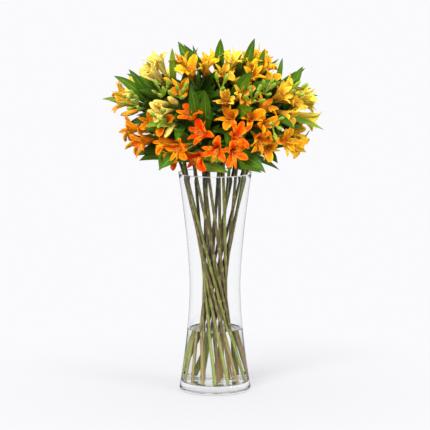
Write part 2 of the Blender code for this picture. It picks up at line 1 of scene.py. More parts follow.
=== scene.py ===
"""Alstroemeria in a tall waisted glass vase: the finished petals, leaves, stems, glass and water.

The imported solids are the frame. Flowers and leaves are drawn by the same seeded rule as the solids, and
the draw that a solid was built from is the one whose tip is a corner of that solid. Every new surface is
one or more skins: rows of rings, where each row is one section and the first and last row close it.
"""

import json
import math
import random
from collections import namedtuple
from functools import lru_cache, partial

import bpy
import numpy as np
from bpy.props import FloatProperty, FloatVectorProperty, IntProperty, PointerProperty
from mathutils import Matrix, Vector
from mathutils.kdtree import KDTree


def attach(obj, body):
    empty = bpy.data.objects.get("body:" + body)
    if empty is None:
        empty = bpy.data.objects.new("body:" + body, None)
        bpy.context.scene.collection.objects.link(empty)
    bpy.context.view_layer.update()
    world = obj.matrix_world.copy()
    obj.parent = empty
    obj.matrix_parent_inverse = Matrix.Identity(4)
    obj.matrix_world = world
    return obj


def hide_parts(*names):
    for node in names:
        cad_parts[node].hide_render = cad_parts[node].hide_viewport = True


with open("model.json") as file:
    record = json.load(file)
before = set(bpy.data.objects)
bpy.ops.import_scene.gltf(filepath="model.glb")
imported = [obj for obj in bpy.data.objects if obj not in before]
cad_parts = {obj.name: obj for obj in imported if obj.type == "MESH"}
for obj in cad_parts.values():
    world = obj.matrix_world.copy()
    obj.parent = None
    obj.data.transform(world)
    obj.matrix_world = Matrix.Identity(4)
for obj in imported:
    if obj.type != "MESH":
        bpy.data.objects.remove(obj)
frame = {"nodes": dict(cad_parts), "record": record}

bl_info = {
    "name": "Alstroemeria in vase",
    "version": (1, 0, 0),
    "blender": (4, 5, 0),
    "location": "View3D > Sidebar > Bouquet",
    "description": "Makes the finished surfaces of a vase of alstroemeria around its solids",
    "category": "Add Mesh",
}

SLOT_COLOURS = {material["slot"]: material["base_color"] for material in frame["record"]["materials"]}

# Vase and water, as in the solids
VASE_HEIGHT = 0.400
WAIST_HEIGHT = 0.192
WAIST_RADIUS = 0.046
FOOT_FLARE = 0.020
FOOT_POWER = 1.7
RIM_FLARE = 0.0205
RIM_POWER = 1.5
WALL = 0.003
FLOOR = 0.015
FLOOR_ROUND = 0.006
FOOT_ROUND = 0.005
WATER_LEVEL = 0.113

# Finer than the solid vase: the lip, and the ring that it stands on, round a hollow
LIP_WALL = 0.0013
RING_WIDTH = 0.0025

# The water's climb falls to about a third over this way from the glass
CLIMB_REACH = 0.0016

# Stems, as in the solids
STEM_RADIUS = 0.0029
STEM_TURN = math.radians(-140)
FOOT_LIFT = 0.0012
STEM_BOW = 0.0015
STEM_WANDER = 0.0008

# The rings of stems: the turn where each starts, and its radius at the feet and at the rim
OUTER_RING = (math.radians(27), 0.0485, 0.0575)
INNER_RING = (0.0, 0.022, 0.025)

# Heads of flowers, as in the solids
HUB_RADIUS = 0.0045
HUB_CLEAR = 0.0004
PEDICEL_RADIUS = 0.0015
BASE_RADIUS = 0.0019
OUTER_TEPAL = 0.050
INNER_TEPAL = 0.053
OUTER_HALF_WIDTH = 0.0098
INNER_HALF_WIDTH = 0.0060
TEPAL_START = math.radians(6)
TEPAL_CURL = 1.6
TEPAL_FLARE = math.radians(82)
INNER_FLARE = 0.82
BUD_LENGTH = 0.037
BUD_RADIUS = 0.0062
YOUNG_LENGTH = 0.016
YOUNG_RADIUS = 0.0036
GOLDEN_TURN = math.radians(137.5)
FLOWER_MIDDLE = 0.025
SHORTEST_STALK = 0.020
STRAY_FIRST = 0.10
STRAY_STEP = 0.012
BOUQUET_MIDDLE = Vector((0.0, 0.0, 0.513))

# Leaves, as in the solids
LEAF_ROOT_HALF_WIDTH = 0.0016
LEAF_FOLD = 0.16
LEAF_REACH = 0.082
LEAF_LENGTHS = (0.062, 0.088)
LEAF_HALF_WIDTHS = (0.0075, 0.0115)
WHORL_BELOW = (0.013, 0.016, 0.019, 0.034, 0.050)
LEAVES_PER_STEM = 4

# Draws of each flower and leaf, and how near its tip lies to a corner of the solid made from it
TRIES = 70
SAME_POINT = 0.00015

# A head's flowers stand round its middle, on stalks that spread from its hub. Its flare is how far its
# open flowers open.
Head = namedtuple("Head", "name hub middle open buds young spread flare tint")


def metres(*millimetres):
    return tuple(length / 1000 for length in millimetres)


# Hub and middle in millimetres
HEADS = tuple(Head(name, metres(*hub), metres(*middle), *rest) for name, hub, middle, *rest in (
    ("front_low", (18, -80, 458), (21, -132, 453), 5, 0, 0, 0.85, 0.86, "scarlet"),
    ("front_low_left", (-26, -78, 462), (-48, -128, 458), 5, 0, 0, 0.90, 0.80, "vermilion"),
    ("left_low", (-78, -22, 466), (-140, -48, 472), 6, 0, 0, 1.00, 0.78, "orange"),
    ("right_low", (88, -26, 464), (136, -55, 458), 6, 0, 0, 1.05, 0.76, "amber"),
    ("front_right", (56, -70, 490), (78, -112, 502), 5, 0, 0, 0.95, 0.82, "orange"),
    ("front_high", (26, -66, 520), (28, -112, 532), 3, 1, 1, 0.85, 0.60, "apricot"),
    ("front_left", (-56, -68, 522), (-96, -106, 522), 1, 3, 1, 0.80, 0.34, "cream"),
    ("crown_left", (-30, -30, 546), (-52, -58, 590), 4, 1, 0, 0.85, 0.66, "amber"),
    ("left_high", (-72, -8, 536), (-114, -20, 586), 5, 0, 0, 0.85, 0.44, "cream"),
    ("crown_front", (8, 0, 552), (14, -30, 600), 4, 2, 0, 0.90, 0.50, "yellow"),
    ("crown_right", (48, 4, 548), (78, -18, 592), 5, 0, 0, 0.90, 0.70, "amber"),
    ("right_high", (82, -34, 522), (126, -62, 542), 4, 0, 2, 0.85, 0.66, "apricot"),
    ("right_tip", (112, 6, 522), (168, 0, 527), 3, 2, 1, 0.90, 0.56, "yellow"),
    ("left_tip", (-108, 2, 520), (-165, -8, 532), 2, 2, 2, 0.80, 0.50, "apricot"),
    ("back_left_low", (-66, 62, 470), (-110, 104, 474), 4, 1, 0, 1.00, 0.78, "orange"),
    ("back_right_low", (70, 58, 470), (114, 100, 474), 5, 0, 0, 1.00, 0.78, "amber"),
    ("back_middle", (0, 85, 484), (2, 140, 490), 4, 1, 0, 0.95, 0.80, "scarlet"),
    ("back_left_high", (-45, 56, 532), (-74, 96, 566), 3, 2, 1, 0.95, 0.50, "cream"),
    ("back_right_high", (40, 58, 532), (62, 98, 568), 4, 1, 1, 0.95, 0.70, "orange"),
))

# Heads whose stems stand in the inner ring
INNER_HEADS = {"crown_left", "crown_front", "crown_right", "back_left_high", "back_right_high"}
FLOWER_NODES = [f"flowers_{head.name}" for head in HEADS]

# Leaves whose tips are given: tip and half width in millimetres
LEAF_TIPS = (
    ((-42, -122, 566), 11.5),
    ((-18, -126, 560), 12),
    ((18, -122, 545), 9),
    ((64, -95, 586), 13),
    ((108, -70, 566), 11),
    ((66, -128, 526), 11),
    ((-125, -108, 494), 11),
    ((-99, -88, 414), 13),
    ((84, -78, 409), 13),
    ((26, -92, 414), 10),
    ((-66, -20, 634), 9),
    ((-38, -10, 626), 5),
    ((10, -12, 640), 11),
    ((71, -10, 640), 9),
    ((92, 0, 622), 6),
    ((114, 10, 606), 7),
    ((156, 12, 588), 11),
    ((186, 20, 536), 6),
    ((-182, -10, 570), 11),
    ((-154, 0, 584), 10),
    ((-200, 5, 532), 8),
    ((-136, -50, 427), 10),
    ((-108, -60, 430), 8),
    ((186, -20, 474), 7),
    ((139, -40, 402), 6),
    ((116, -88, 513), 11),
    ((-100, -84, 557), 8),
    ((-77, -60, 584), 9),
    ((-139, -40, 555), 11),
)

Floret = namedtuple("Floret", "kind hub bend base facing roll size flare")
Leaf = namedtuple("Leaf", "head root bend tip across half_width")


def frame_of(axis, roll=0.0):
    """Two unit vectors square to axis, right-handed with it, turned about it by roll."""
    helper = Vector((0, 0, 1)) if abs(axis.z) < 0.9 else Vector((1, 0, 0))
    side = helper.cross(axis).normalized()
    other = axis.cross(side)
    return (
        side * math.cos(roll) + other * math.sin(roll),
        other * math.cos(roll) - side * math.sin(roll),
    )


def leaning(axis, away, turn):
    """The direction this far away from an axis, at this turn round it."""
    side, other = frame_of(axis)
    return axis * math.cos(away) + (side * math.cos(turn) + other * math.sin(turn)) * math.sin(away)


@lru_cache(maxsize=None)
def stem_ends(head):
    """Foot and rim points of a head's stem. The heads of a ring stand in order of their angle."""
    inner = head.name in INNER_HEADS
    ring = sorted(
        (each for each in HEADS if (each.name in INNER_HEADS) == inner),
        key=lambda each: math.atan2(each.hub[1], each.hub[0]) % math.tau,
    )
    start, foot, rim = INNER_RING if inner else OUTER_RING
    draw = random.Random(f"stem {head.name}")
    top = start + math.tau * (ring.index(head) + draw.uniform(-0.05, 0.05)) / len(ring)
    low = top - STEM_TURN + draw.uniform(-0.03, 0.03)
    foot += draw.uniform(-1, 1) * STEM_WANDER
    rim += draw.uniform(-1, 1) * STEM_WANDER
    return (
        Vector((foot * math.cos(low), foot * math.sin(low), FLOOR + FOOT_LIFT)),
        Vector((rim * math.cos(top), rim * math.sin(top), VASE_HEIGHT)),
    )


@lru_cache(maxsize=None)
def stem_top(head):
    """Where the stem ends, just short of the head's hub, and its direction there."""
    hub = Vector(head.hub)
    heading = ((hub - stem_ends(head)[1]).normalized() + Vector((0, 0, 0.5))).normalized()
    return hub - heading * (HUB_RADIUS + HUB_CLEAR), heading


def stem_point(head, share):
    """A point on the stem: straight with a slight bow up to the rim (share 0 to 1), and from there a
    curve that leaves in the stem's own direction and ends in the head's (share 1 to 2)."""
    foot, rim = stem_ends(head)
    if share <= 1:
        middle = (foot + rim) / 2
        out = Vector((middle.x, middle.y, 0)).normalized()
        return foot.lerp(rim, share) + out * STEM_BOW * 4 * share * (1 - share)
    top, heading = stem_top(head)
    way = share - 1
    left = 1 - way
    reach = (top - rim).length
    first = rim + (rim - foot).normalized() * reach * 0.35
    last = top - heading * reach * 0.35
    return rim * left**3 + first * 3 * way * left**2 + last * 3 * way * way * left + top * way**3


@lru_cache(maxsize=None)
def stem_below(head, below):
    """The point on the stem's upper curve that lies this far below its top."""
    rim, top = stem_point(head, 1), stem_point(head, 2)
    return stem_point(head, 2 - below / (top - rim).length)


def nearest_head(place):
    return min(HEADS, key=lambda head: (Vector(head.hub) - place).length)


def floret_pose(head, number, attempt):
    """Where the head's flower of this number goes on this attempt. Stalks leave the hub in a spiral of
    golden turns round the head's direction, and later attempts stray further from it."""
    total = head.open + head.buds + head.young
    kind = "open" if number < head.open else "bud" if number < head.open + head.buds else "young"
    draw = random.Random(f"{head.name} {number} {attempt}")
    stray = STRAY_FIRST + STRAY_STEP * attempt
    hub = Vector(head.hub)
    reach = Vector(head.middle) - hub
    away = head.spread * math.sqrt((number + 0.4) / total) + draw.uniform(-1, 1) * stray
    turn = GOLDEN_TURN * number + draw.uniform(-1, 1) * stray * 2
    ray = leaning(reach.normalized(), away, turn)
    length = max(reach.length - FLOWER_MIDDLE, SHORTEST_STALK)
    length *= (0.75 if kind == "young" else 1.0) * (1 + draw.uniform(-0.15, 0.15) + STRAY_STEP * attempt / 2)
    outward = (hub + ray * 0.05 - BOUQUET_MIDDLE).normalized()
    facing = (ray * 1.5 + outward * 0.7 + Vector((0, 0, draw.uniform(-0.35, 0.15)))).normalized()
    bend = hub + ray * length * 0.6
    base = bend + facing * length * 0.4
    roll, size, flare = draw.uniform(0, math.tau), draw.uniform(0.92, 1.06), draw.uniform(-0.12, 0.12)
    return Floret(kind, hub, bend, base, facing, roll, size, head.flare + flare)


def tepal_line(length, flare, shares):
    """Radius, height and lean of middle lines at shares of their length, for arrays of lengths and
    flares. A line leaves the flower's axis at a small angle and leans away faster towards the tip; the
    sums are the midpoint rule over 24 steps."""
    steps = 24
    at = np.asarray(shares)[:, None] * (np.arange(steps) + 0.5) / steps
    flare = np.asarray(flare)[..., None]
    lean = TEPAL_START + flare[..., None] * at**TEPAL_CURL
    run = np.asarray(shares) * np.asarray(length)[..., None] / steps
    radius = BASE_RADIUS + np.sin(lean).sum(-1) * run
    height = np.cos(lean).sum(-1) * run
    return radius, height, TEPAL_START + flare * np.asarray(shares) ** TEPAL_CURL


def floret_tip(pose):
    """A corner of the flower's solid: the tip of its first tepal, or of the bud."""
    if pose.kind != "open":
        length = BUD_LENGTH if pose.kind == "bud" else YOUNG_LENGTH
        return pose.base + pose.facing * length * pose.size
    radius, height, _ = tepal_line(OUTER_TEPAL * pose.size, TEPAL_FLARE * pose.flare, [1.0])
    return pose.base + frame_of(pose.facing, pose.roll)[0] * radius[0] + pose.facing * height[0]


def leaf_towards(head, below, tip, half_width, draw):
    """A leaf from the head's stem to a tip: it leaves the stem steeply and arches over, and its broad
    face looks out of the bouquet."""
    root = stem_below(head, below)
    _, heading = stem_top(head)
    chord = tip - root
    bend = root + chord * 0.45 + heading * chord.length * draw.uniform(0.10, 0.22)
    outward = ((root + tip) / 2 - BOUQUET_MIDDLE + Vector((0, 0, 0.04))).normalized()
    across = chord.cross(outward).normalized()
    roll = draw.uniform(-0.5, 0.5)
    across = across * math.cos(roll) + chord.normalized().cross(across) * math.sin(roll)
    return Leaf(head, root, bend, tip, across, half_width)


def shown_leaf(number, attempt):
    """The leaf whose tip is given, from the stem that best suits a leaf's length. Later
    attempts stray further from the tip and go on to the next stems."""
    place, half_width = LEAF_TIPS[number]
    draw = random.Random(f"shown leaf {number} {attempt}")
    stray = 0.001 + 0.0005 * attempt
    tip = Vector(metres(*place)) + Vector([draw.uniform(-1, 1) * stray for _ in range(3)])
    roots = sorted(
        (abs((tip - stem_below(head, below)).length - LEAF_REACH), head.name, below, head)
        for head in HEADS
        for below in WHORL_BELOW
    )
    _, _, below, head = roots[(attempt // 4) % 12]
    return leaf_towards(head, below, tip, half_width / 1000, draw)


def whorl_axis(head, along_stem, along_head):
    """The middle direction of leaves under a head: the stem's and the head's own, by these weights."""
    aim = (Vector(head.middle) - Vector(head.hub)).normalized()
    return (stem_top(head)[1] * along_stem + aim * along_head).normalized()


def whorl_leaf(head, number, attempt):
    """A leaf of the whorl under a head, in golden turns round the stem."""
    draw = random.Random(f"leaf {head.name} {number} {attempt}")
    stray = 0.2 + 0.03 * attempt
    below = WHORL_BELOW[number % len(WHORL_BELOW)]
    away = 0.95 + draw.uniform(-1, 1) * stray * 0.6
    turn = GOLDEN_TURN * number + draw.uniform(-1, 1) * stray * 2
    ray = leaning(whorl_axis(head, 0.7, 0.6), away, turn)
    tip = stem_below(head, below) + ray * draw.uniform(*LEAF_LENGTHS)
    return leaf_towards(head, below, tip, draw.uniform(*LEAF_HALF_WIDTHS), draw)


@lru_cache(maxsize=None)
def corners_of(*nodes):
    """A search tree of the corners of solids."""
    corners = [vertex.co for node in nodes for vertex in frame["nodes"][node].data.vertices]
    tree = KDTree(len(corners))
    for number, corner in enumerate(corners):
        tree.insert(corner, number)
    tree.balance()
    return tree


def is_corner(node, point):
    return corners_of(node).find(point)[2] < SAME_POINT


@lru_cache(maxsize=None)
def built_florets(head):
    """The head's flowers that the solids hold."""
    found = []
    for number in range(head.open + head.buds + head.young):
        tries = (floret_pose(head, number, attempt) for attempt in range(TRIES))
        found += [pose for pose in tries if is_corner(f"flowers_{head.name}", floret_tip(pose))][:1]
    if not found:
        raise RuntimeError(f"the solid flowers_{head.name} has none of the flowers that its rule gives")
    return found


@lru_cache(maxsize=None)
def built_leaves():
    """Every leaf that the solids hold, by the name of its stem's head."""
    found = {head.name: [] for head in HEADS}
    rules = [partial(shown_leaf, number) for number in range(len(LEAF_TIPS))]
    rules += [partial(whorl_leaf, head, number) for number in range(LEAVES_PER_STEM) for head in HEADS]
    for rule in rules:
        tries = map(rule, range(TRIES))
        leaf = next((leaf for leaf in tries if is_corner(f"stem_{leaf.head.name}", leaf.tip)), None)
        if leaf:
            found[leaf.head.name].append(leaf)
    if not any(found.values()):
        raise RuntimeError("the stems' solids have none of the leaves that their rule gives")
    return found


# Skins: arrays of points with axes (copy, row, step round the ring, coordinate)

Skin = namedtuple("Skin", "points marks finish")
MARKS = ("along", "across", "front", "shade", "kind")


def skin(points, finish=0, **marks):
    """A skin with its marks, which are numbers for the materials, spread over all its points."""
    shape = points.shape[:3]
    return Skin(points, {mark: np.broadcast_to(marks.get(mark, 0.0), shape) for mark in MARKS}, finish)


def closed_array(values):
    """Values per point as one flat array: the first and last row of each copy become one pole each."""
    rows = values[:, 1:-1].reshape(len(values), -1, *values.shape[3:])
    poles = values[:, (0, -1)].mean(axis=2)
    return np.concatenate([rows, poles], axis=1).reshape(-1, *values.shape[3:])


def skin_faces(copies, rows, ring):
    """Corner numbers of quads between neighbouring rings and of the triangles round both poles."""
    here = np.arange((rows - 2) * ring).reshape(rows - 2, ring)
    after = np.roll(here, -1, axis=1)
    quads = np.stack([here[:-1], after[:-1], after[1:], here[1:]], axis=-1).reshape(-1, 4)
    low = np.full(ring, here.size)
    ends = np.array([[after[0], here[0], low], [here[-1], after[-1], low + 1]])
    fans = np.moveaxis(ends, 1, 2).reshape(-1, 3)
    step = (np.arange(copies) * (here.size + 2))[:, None, None]
    return (quads + step).reshape(-1, 4), (fans + step).reshape(-1, 3)


def add_object(name, data):
    """An object with this mesh, lamp or camera, in the scene."""
    made = bpy.data.objects.new(name, data)
    bpy.context.scene.collection.objects.link(made)
    return made


def add_piece(name, skins, finishes, replaces=None):
    """One closed, smooth mesh object from skins, riding on the frame's only body."""
    points, corners, sides, finish_of = [], [], [], []
    marks = {mark: [] for mark in MARKS}
    first = 0
    for part in skins:
        flat = closed_array(part.points)
        quads, fans = skin_faces(*part.points.shape[:3])
        points.append(flat)
        for mark in MARKS:
            marks[mark].append(closed_array(part.marks[mark]))
        corners += [quads.ravel() + first, fans.ravel() + first]
        sides += [np.full(len(quads), 4), np.full(len(fans), 3)]
        finish_of.append(np.full(len(quads) + len(fans), part.finish))
        first += len(flat)
    sides = np.concatenate(sides)
    mesh = bpy.data.meshes.new(name)
    mesh.vertices.add(first)
    mesh.vertices.foreach_set("co", np.concatenate(points).astype(np.float32).ravel())
    mesh.loops.add(int(sides.sum()))
    mesh.loops.foreach_set("vertex_index", np.concatenate(corners).astype(np.int32))
    mesh.polygons.add(len(sides))
    mesh.polygons.foreach_set("loop_start", (np.cumsum(sides) - sides).astype(np.int32))
    mesh.polygons.foreach_set("material_index", np.concatenate(finish_of).astype(np.int32))
    mesh.update(calc_edges=True)
    mesh.shade_smooth()
    for mark in MARKS:
        layer = mesh.attributes.new(mark, "FLOAT", "POINT")
        layer.data.foreach_set("value", np.concatenate(marks[mark]).astype(np.float32))
    for finish in finishes:
        mesh.materials.append(finish)
    if mesh.validate():
        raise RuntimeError(f"the mesh of {name} had faces that Blender had to mend")
    piece = add_object(name, mesh)
    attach(piece, "root")
    if replaces:
        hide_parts(replaces)


def smooth_step(values):
    """0 up to 0, 1 from 1 on, and a smooth rise between."""
    share = np.clip(values, 0, 1)
    return share * share * (3 - 2 * share)


def dot(first, second):
    return (first * second).sum(-1, keepdims=True)


def unit(vectors):
    return vectors / np.linalg.norm(vectors, axis=-1, keepdims=True)


def ring_turns(steps):
    return np.arange(steps) / steps * math.tau


def arms(first, second, turns):
    """Directions at these turns from the first towards the second, on a new axis before the last."""
    return first[..., None, :] * np.cos(turns)[:, None] + second[..., None, :] * np.sin(turns)[:, None]


def bowed(start, bend, end, share):
    """Points of a curve that leaves its start towards the bend and reaches its end from there."""
    return start * (1 - share) ** 2 + bend * 2 * share * (1 - share) + end * share**2


def edge_waves(along, across, phases, first, second, share):
    """Waves of a blade: this many first ones lift its edges in turn, and second ones both together, by
    this share of the first. The blade's middle stays."""
    turned = np.sin(math.tau * first * along + phases[0]) * across * np.abs(across)
    return turned + share * np.sin(math.tau * second * along + phases[1]) * across**2


def swept_rings(path, radius, side, steps, ribs=0, rib_depth=0.0):
    """Rings round paths, shape (copy, row, 3): middle + radius * (first cos + second sin), where first
    is side made square to the path and second is square to both. Ribs swell the radius by a cosine. The
    two rows more than the path are its own ends, which close the tube flat."""
    axis = unit(np.gradient(path, axis=1))
    first = unit(side - axis * dot(side, axis))
    second = np.cross(axis, first)
    turn = ring_turns(steps)
    swell = 1 + np.asarray(rib_depth)[..., None] * np.cos(ribs * turn)
    rings = path[:, :, None] + arms(first, second, turn) * (radius[:, :, None] * swell)[..., None]
    ends = np.repeat(path[:, (0, -1), None], steps, axis=2)
    return np.concatenate([ends[:, :1], rings, ends[:, 1:]], axis=1)


def with_end_rows(values):
    """Marks of the rows of paths, with the first and last row repeated for a tube's two ends."""
    return np.pad(values, ((0, 0), (1, 1)), mode="edge")[..., None]


# Vase and water


def vase_radius(height):
    """Outer radius: the waist's, plus a power curve down to the foot and one up to the rim."""
    below = np.clip((WAIST_HEIGHT - height) / WAIST_HEIGHT, 0, 1)
    above = np.clip((height - WAIST_HEIGHT) / (VASE_HEIGHT - WAIST_HEIGHT), 0, 1)
    return WAIST_RADIUS + FOOT_FLARE * below**FOOT_POWER + RIM_FLARE * above**RIM_POWER


def quarter(radius, height, size, start, turns=6):
    """A quarter circle of this size round (radius, height), from the start angle, anticlockwise."""
    angle = start + np.linspace(0, math.pi / 2, turns)
    return np.stack([radius + size * np.cos(angle), height + size * np.sin(angle)], axis=-1)


def wall_between(low, high, steps, inset):
    """Heights from low to high on the vase's outer curve, moved in by inset."""
    height = np.linspace(low, high, steps)
    return np.stack([vase_radius(height) - inset, height], axis=-1)


def lathe(rows, steps):
    """A skin turned from lists of (radius, height), whose first and last points lie on the axis."""
    profile = np.concatenate([np.asarray(row, float).reshape(-1, 2) for row in rows])
    turn = ring_turns(steps)
    radius, height = profile[:, :1], np.repeat(profile[:, 1:], steps, axis=1)
    return skin(np.stack([radius * np.cos(turn), radius * np.sin(turn), height], axis=-1)[None])


def vase_rows(hollow):
    """From the underside's middle out round the foot, up the outer curve, over the lip, down the inner
    curve and round into the floor. The underside is hollow by this height, flat in its middle, and
    falls steeply to the ring that the vase stands on."""
    foot = vase_radius(FOOT_ROUND) - FOOT_ROUND
    inward = np.sin(np.linspace(0.02, 1, 16) * math.pi / 2)
    rim, lip = vase_radius(VASE_HEIGHT), LIP_WALL / 2
    low, high = FLOOR + FLOOR_ROUND, VASE_HEIGHT - lip
    inside = vase_radius(low) - WALL - FLOOR_ROUND
    thin = WALL - (WALL - LIP_WALL) * np.linspace(0, 1, 40) ** 2
    return [
        (0, hollow),
        np.stack([(foot - RING_WIDTH) * inward, hollow * (1 - inward**8)], axis=-1),
        quarter(foot, FOOT_ROUND, FOOT_ROUND, -math.pi / 2),
        wall_between(FOOT_ROUND, high, 44, 0.0)[1:],
        quarter(rim - lip, high, lip, 0, 5)[1:],
        quarter(rim - lip, high, lip, math.pi / 2, 5)[1:-1],
        wall_between(low, high, 40, thin)[::-1],
        quarter(inside, low, FLOOR_ROUND, -math.pi / 2)[::-1][1:],
        [(inside * share, FLOOR) for share in (0.66, 0.33, 0.05, 0)],
    ]


def water_rows(climb, sink):
    """The space inside the vase up to the water's level, sunk into the glass by a hair so that no air
    lies between, with a surface that climbs the glass by an exponential curve."""
    low = FLOOR + FLOOR_ROUND
    inside = vase_radius(low) - WALL - FLOOR_ROUND
    edge = vase_radius(WATER_LEVEL + climb) - WALL + sink
    away = np.array([0.0, 0.0006, 0.0013, 0.0022, 0.0035, 0.0055, 0.010, 0.020, 0.032])
    return [
        [(inside * share, FLOOR - sink) for share in (0, 0.05, 0.6)],
        quarter(inside, low, FLOOR_ROUND + sink, -math.pi / 2),
        wall_between(low, WATER_LEVEL, 14, WALL - sink)[1:],
        np.stack([edge - away, WATER_LEVEL + climb * np.exp(-away / CLIMB_REACH)], axis=-1),
        [(0.004, WATER_LEVEL), (0, WATER_LEVEL)],
    ]


# Flowers

TEPAL_ROWS = (0, 0, 0.10, 0.25, 0.40, 0.54, 0.67, 0.78, 0.88, 0.96, 1)
PETAL_RING = 8
STALK_RING = 12
OVARY_LENGTH = 0.0075
OVARY_RADIUS = 0.0027
BUD_ROWS = (0, 0, 0.06, 0.16, 0.30, 0.46, 0.62, 0.76, 0.87, 0.95, 1)

# Ranges of the draws for each tepal: shares of its rule's length, lean and width, how far its tip
# sways to either side and curls back as shares of its length, its twist, and its shade
TEPAL_LENGTHS = (0.93, 1.04)
TEPAL_LEANS = (0.58, 1.14)
TEPAL_WIDTHS = (0.70, 1.04)
TEPAL_SWAYS = (-0.18, 0.18)
TEPAL_CURLS = (0.00, 0.15)
TEPAL_TWISTS = (-1.0, 1.0)
TEPAL_SHADES = (-0.18, 0.18)

# Stamens: ranges of a filament's length, spread and droop, and sizes
FILAMENT_LENGTHS = (0.029, 0.037)
FILAMENT_SPREADS = (0.003, 0.006)
FILAMENT_DROOPS = (0.002, 0.006)
FILAMENT_START = 0.0008
FILAMENT_RADIUS = 0.0005
ANTHER_LENGTH = 0.0046
ANTHER_RADIUS = 0.00105

# How much paler the flowers get for each metre to the right
SHADE_DRIFT = 2.5


def floret_shades(head):
    """How far each flower of a head is from its deepest towards its palest colour. The heads further
    to the right are paler."""
    draw = np.random.default_rng([ord(letter) for letter in head.name])
    return draw.uniform(0, 1, len(built_florets(head))) + SHADE_DRIFT * head.middle[0]


def of_kind(kind, poses, shades):
    """The flowers of one kind, and their shades."""
    chosen = [number for number, pose in enumerate(poses) if pose.kind == kind]
    return [poses[number] for number in chosen], shades[chosen]


def claw_and_blade(share, claw, widest, tip_power):
    """Half width along a tepal, 1 at its widest: a narrow claw that swells smoothly up to the widest
    place, times a rounded fall to the point."""
    rise = claw + (1 - claw) * smooth_step((share - 0.10) / (widest - 0.10))
    fall = np.clip((share - widest) / (1 - widest), 0, 1)
    return rise * np.clip(1 - fall**2.1, 0, 1) ** tip_power


def pose_arrays(poses):
    """Base, facing, side and other of flowers as arrays of shape (flower, 3)."""
    frames = [frame_of(pose.facing, pose.roll) for pose in poses]
    return (
        np.array([pose.base[:] for pose in poses]),
        np.array([pose.facing[:] for pose in poses]),
        np.array([side[:] for side, _ in frames]),
        np.array([other[:] for _, other in frames]),
    )


def petal_skin(poses, shades, settings, draw):
    """Six tepals a flower. A point is the middle line's, plus the blade's width bent round a circle
    that is the throat's radius at the claw and flatter towards the tip, plus a fold along the middle,
    plus half the thickness times the sine of the ring's angle, plus waves that grow towards the edges
    and the tip. Each tepal has its own length, width, lean, sway, twist and curl of the tip. All inner
    tepals but the lowest are streaked."""
    base, facing, side, other = pose_arrays(poses)
    count = len(poses) * 6
    number = np.arange(6)
    outer = number % 2 == 0
    turn = number * math.tau / 6
    out = arms(side, other, turn).reshape(count, 1, 1, 3)
    across = arms(other, -side, turn).reshape(count, 1, 1, 3)
    base, facing = (np.repeat(each, 6, axis=0)[:, None, None] for each in (base, facing))
    size = np.repeat([pose.size for pose in poses], 6)[:, None]
    flare = np.repeat([pose.flare for pose in poses], 6)[:, None] * TEPAL_FLARE
    is_outer = np.tile(outer, len(poses))[:, None]
    length = np.where(is_outer, OUTER_TEPAL, INNER_TEPAL) * size * draw.uniform(*TEPAL_LENGTHS, (count, 1))
    lean_to = np.where(is_outer, 1, INNER_FLARE) * flare * draw.uniform(*TEPAL_LEANS, (count, 1))
    share = np.array(TEPAL_ROWS)
    radius, height, lean = (each[:, 0, :, None] for each in tepal_line(length, lean_to, share))
    width = np.where(
        is_outer,
        OUTER_HALF_WIDTH * claw_and_blade(share, 0.28, 0.70, 0.60),
        INNER_HALF_WIDTH * claw_and_blade(share, 0.36, 0.64, 0.70),
    )
    width = (width * size * draw.uniform(*TEPAL_WIDTHS, (count, 1)))[..., None]
    width[:, 0] = 0
    ring = ring_turns(PETAL_RING)
    sideways, lift = np.cos(ring), np.sin(ring)
    along = share[:, None]
    ripple = draw.uniform(0, math.tau, (2, count, 1, 1))
    sway = draw.uniform(*TEPAL_SWAYS, (count, 1, 1)) * length[..., None] * along**2
    twist = draw.uniform(*TEPAL_TWISTS, (count, 1, 1)) * smooth_step((along - 0.35) / 0.65)
    curl = draw.uniform(*TEPAL_CURLS, (count, 1, 1)) * length[..., None]
    curl = curl * smooth_step((along - 0.7) / 0.3) ** 2
    bend_radius = radius * (1 + 1.1 * along**2)
    bent = width * sideways / bend_radius
    wave = edge_waves(along, sideways, ripple, 1.6, 2.5, 0.7)
    thick = settings.thickness / 2 * np.where(along > 0.9, 0.6, 1.0)
    rise = bend_radius * (1 - np.cos(bent)) + settings.wave * width * smooth_step((along - 0.2) / 0.5) * wave
    rise = rise + settings.fold * width * (np.abs(sideways) ** 1.4 - 0.5) * smooth_step((along - 0.1) / 0.4)
    rise = rise + thick * (lift - 1) * (width > 0)
    wide = bend_radius * np.sin(bent)
    turned = wide * np.cos(twist) - rise * np.sin(twist)
    rise = wide * np.sin(twist) + rise * np.cos(twist) - curl
    along_out = radius - np.cos(lean) * rise
    along_facing = height + np.sin(lean) * rise
    points = base + out * along_out[..., None] + facing * along_facing[..., None]
    points = points + across * (turned + sway)[..., None]
    upward = out[..., 2].reshape(-1, 6)
    lowest = np.where(outer, 9, upward).argmin(axis=1)
    streaked = ~outer & (number != lowest[:, None])
    kind = (np.where(outer, 0.0, 1.0) + streaked).reshape(-1, 1, 1)
    shade = np.repeat(shades, 6)[:, None, None] + draw.uniform(*TEPAL_SHADES, (count, 1, 1))
    return skin(points, along=along, across=sideways, front=lift, shade=shade, kind=kind)


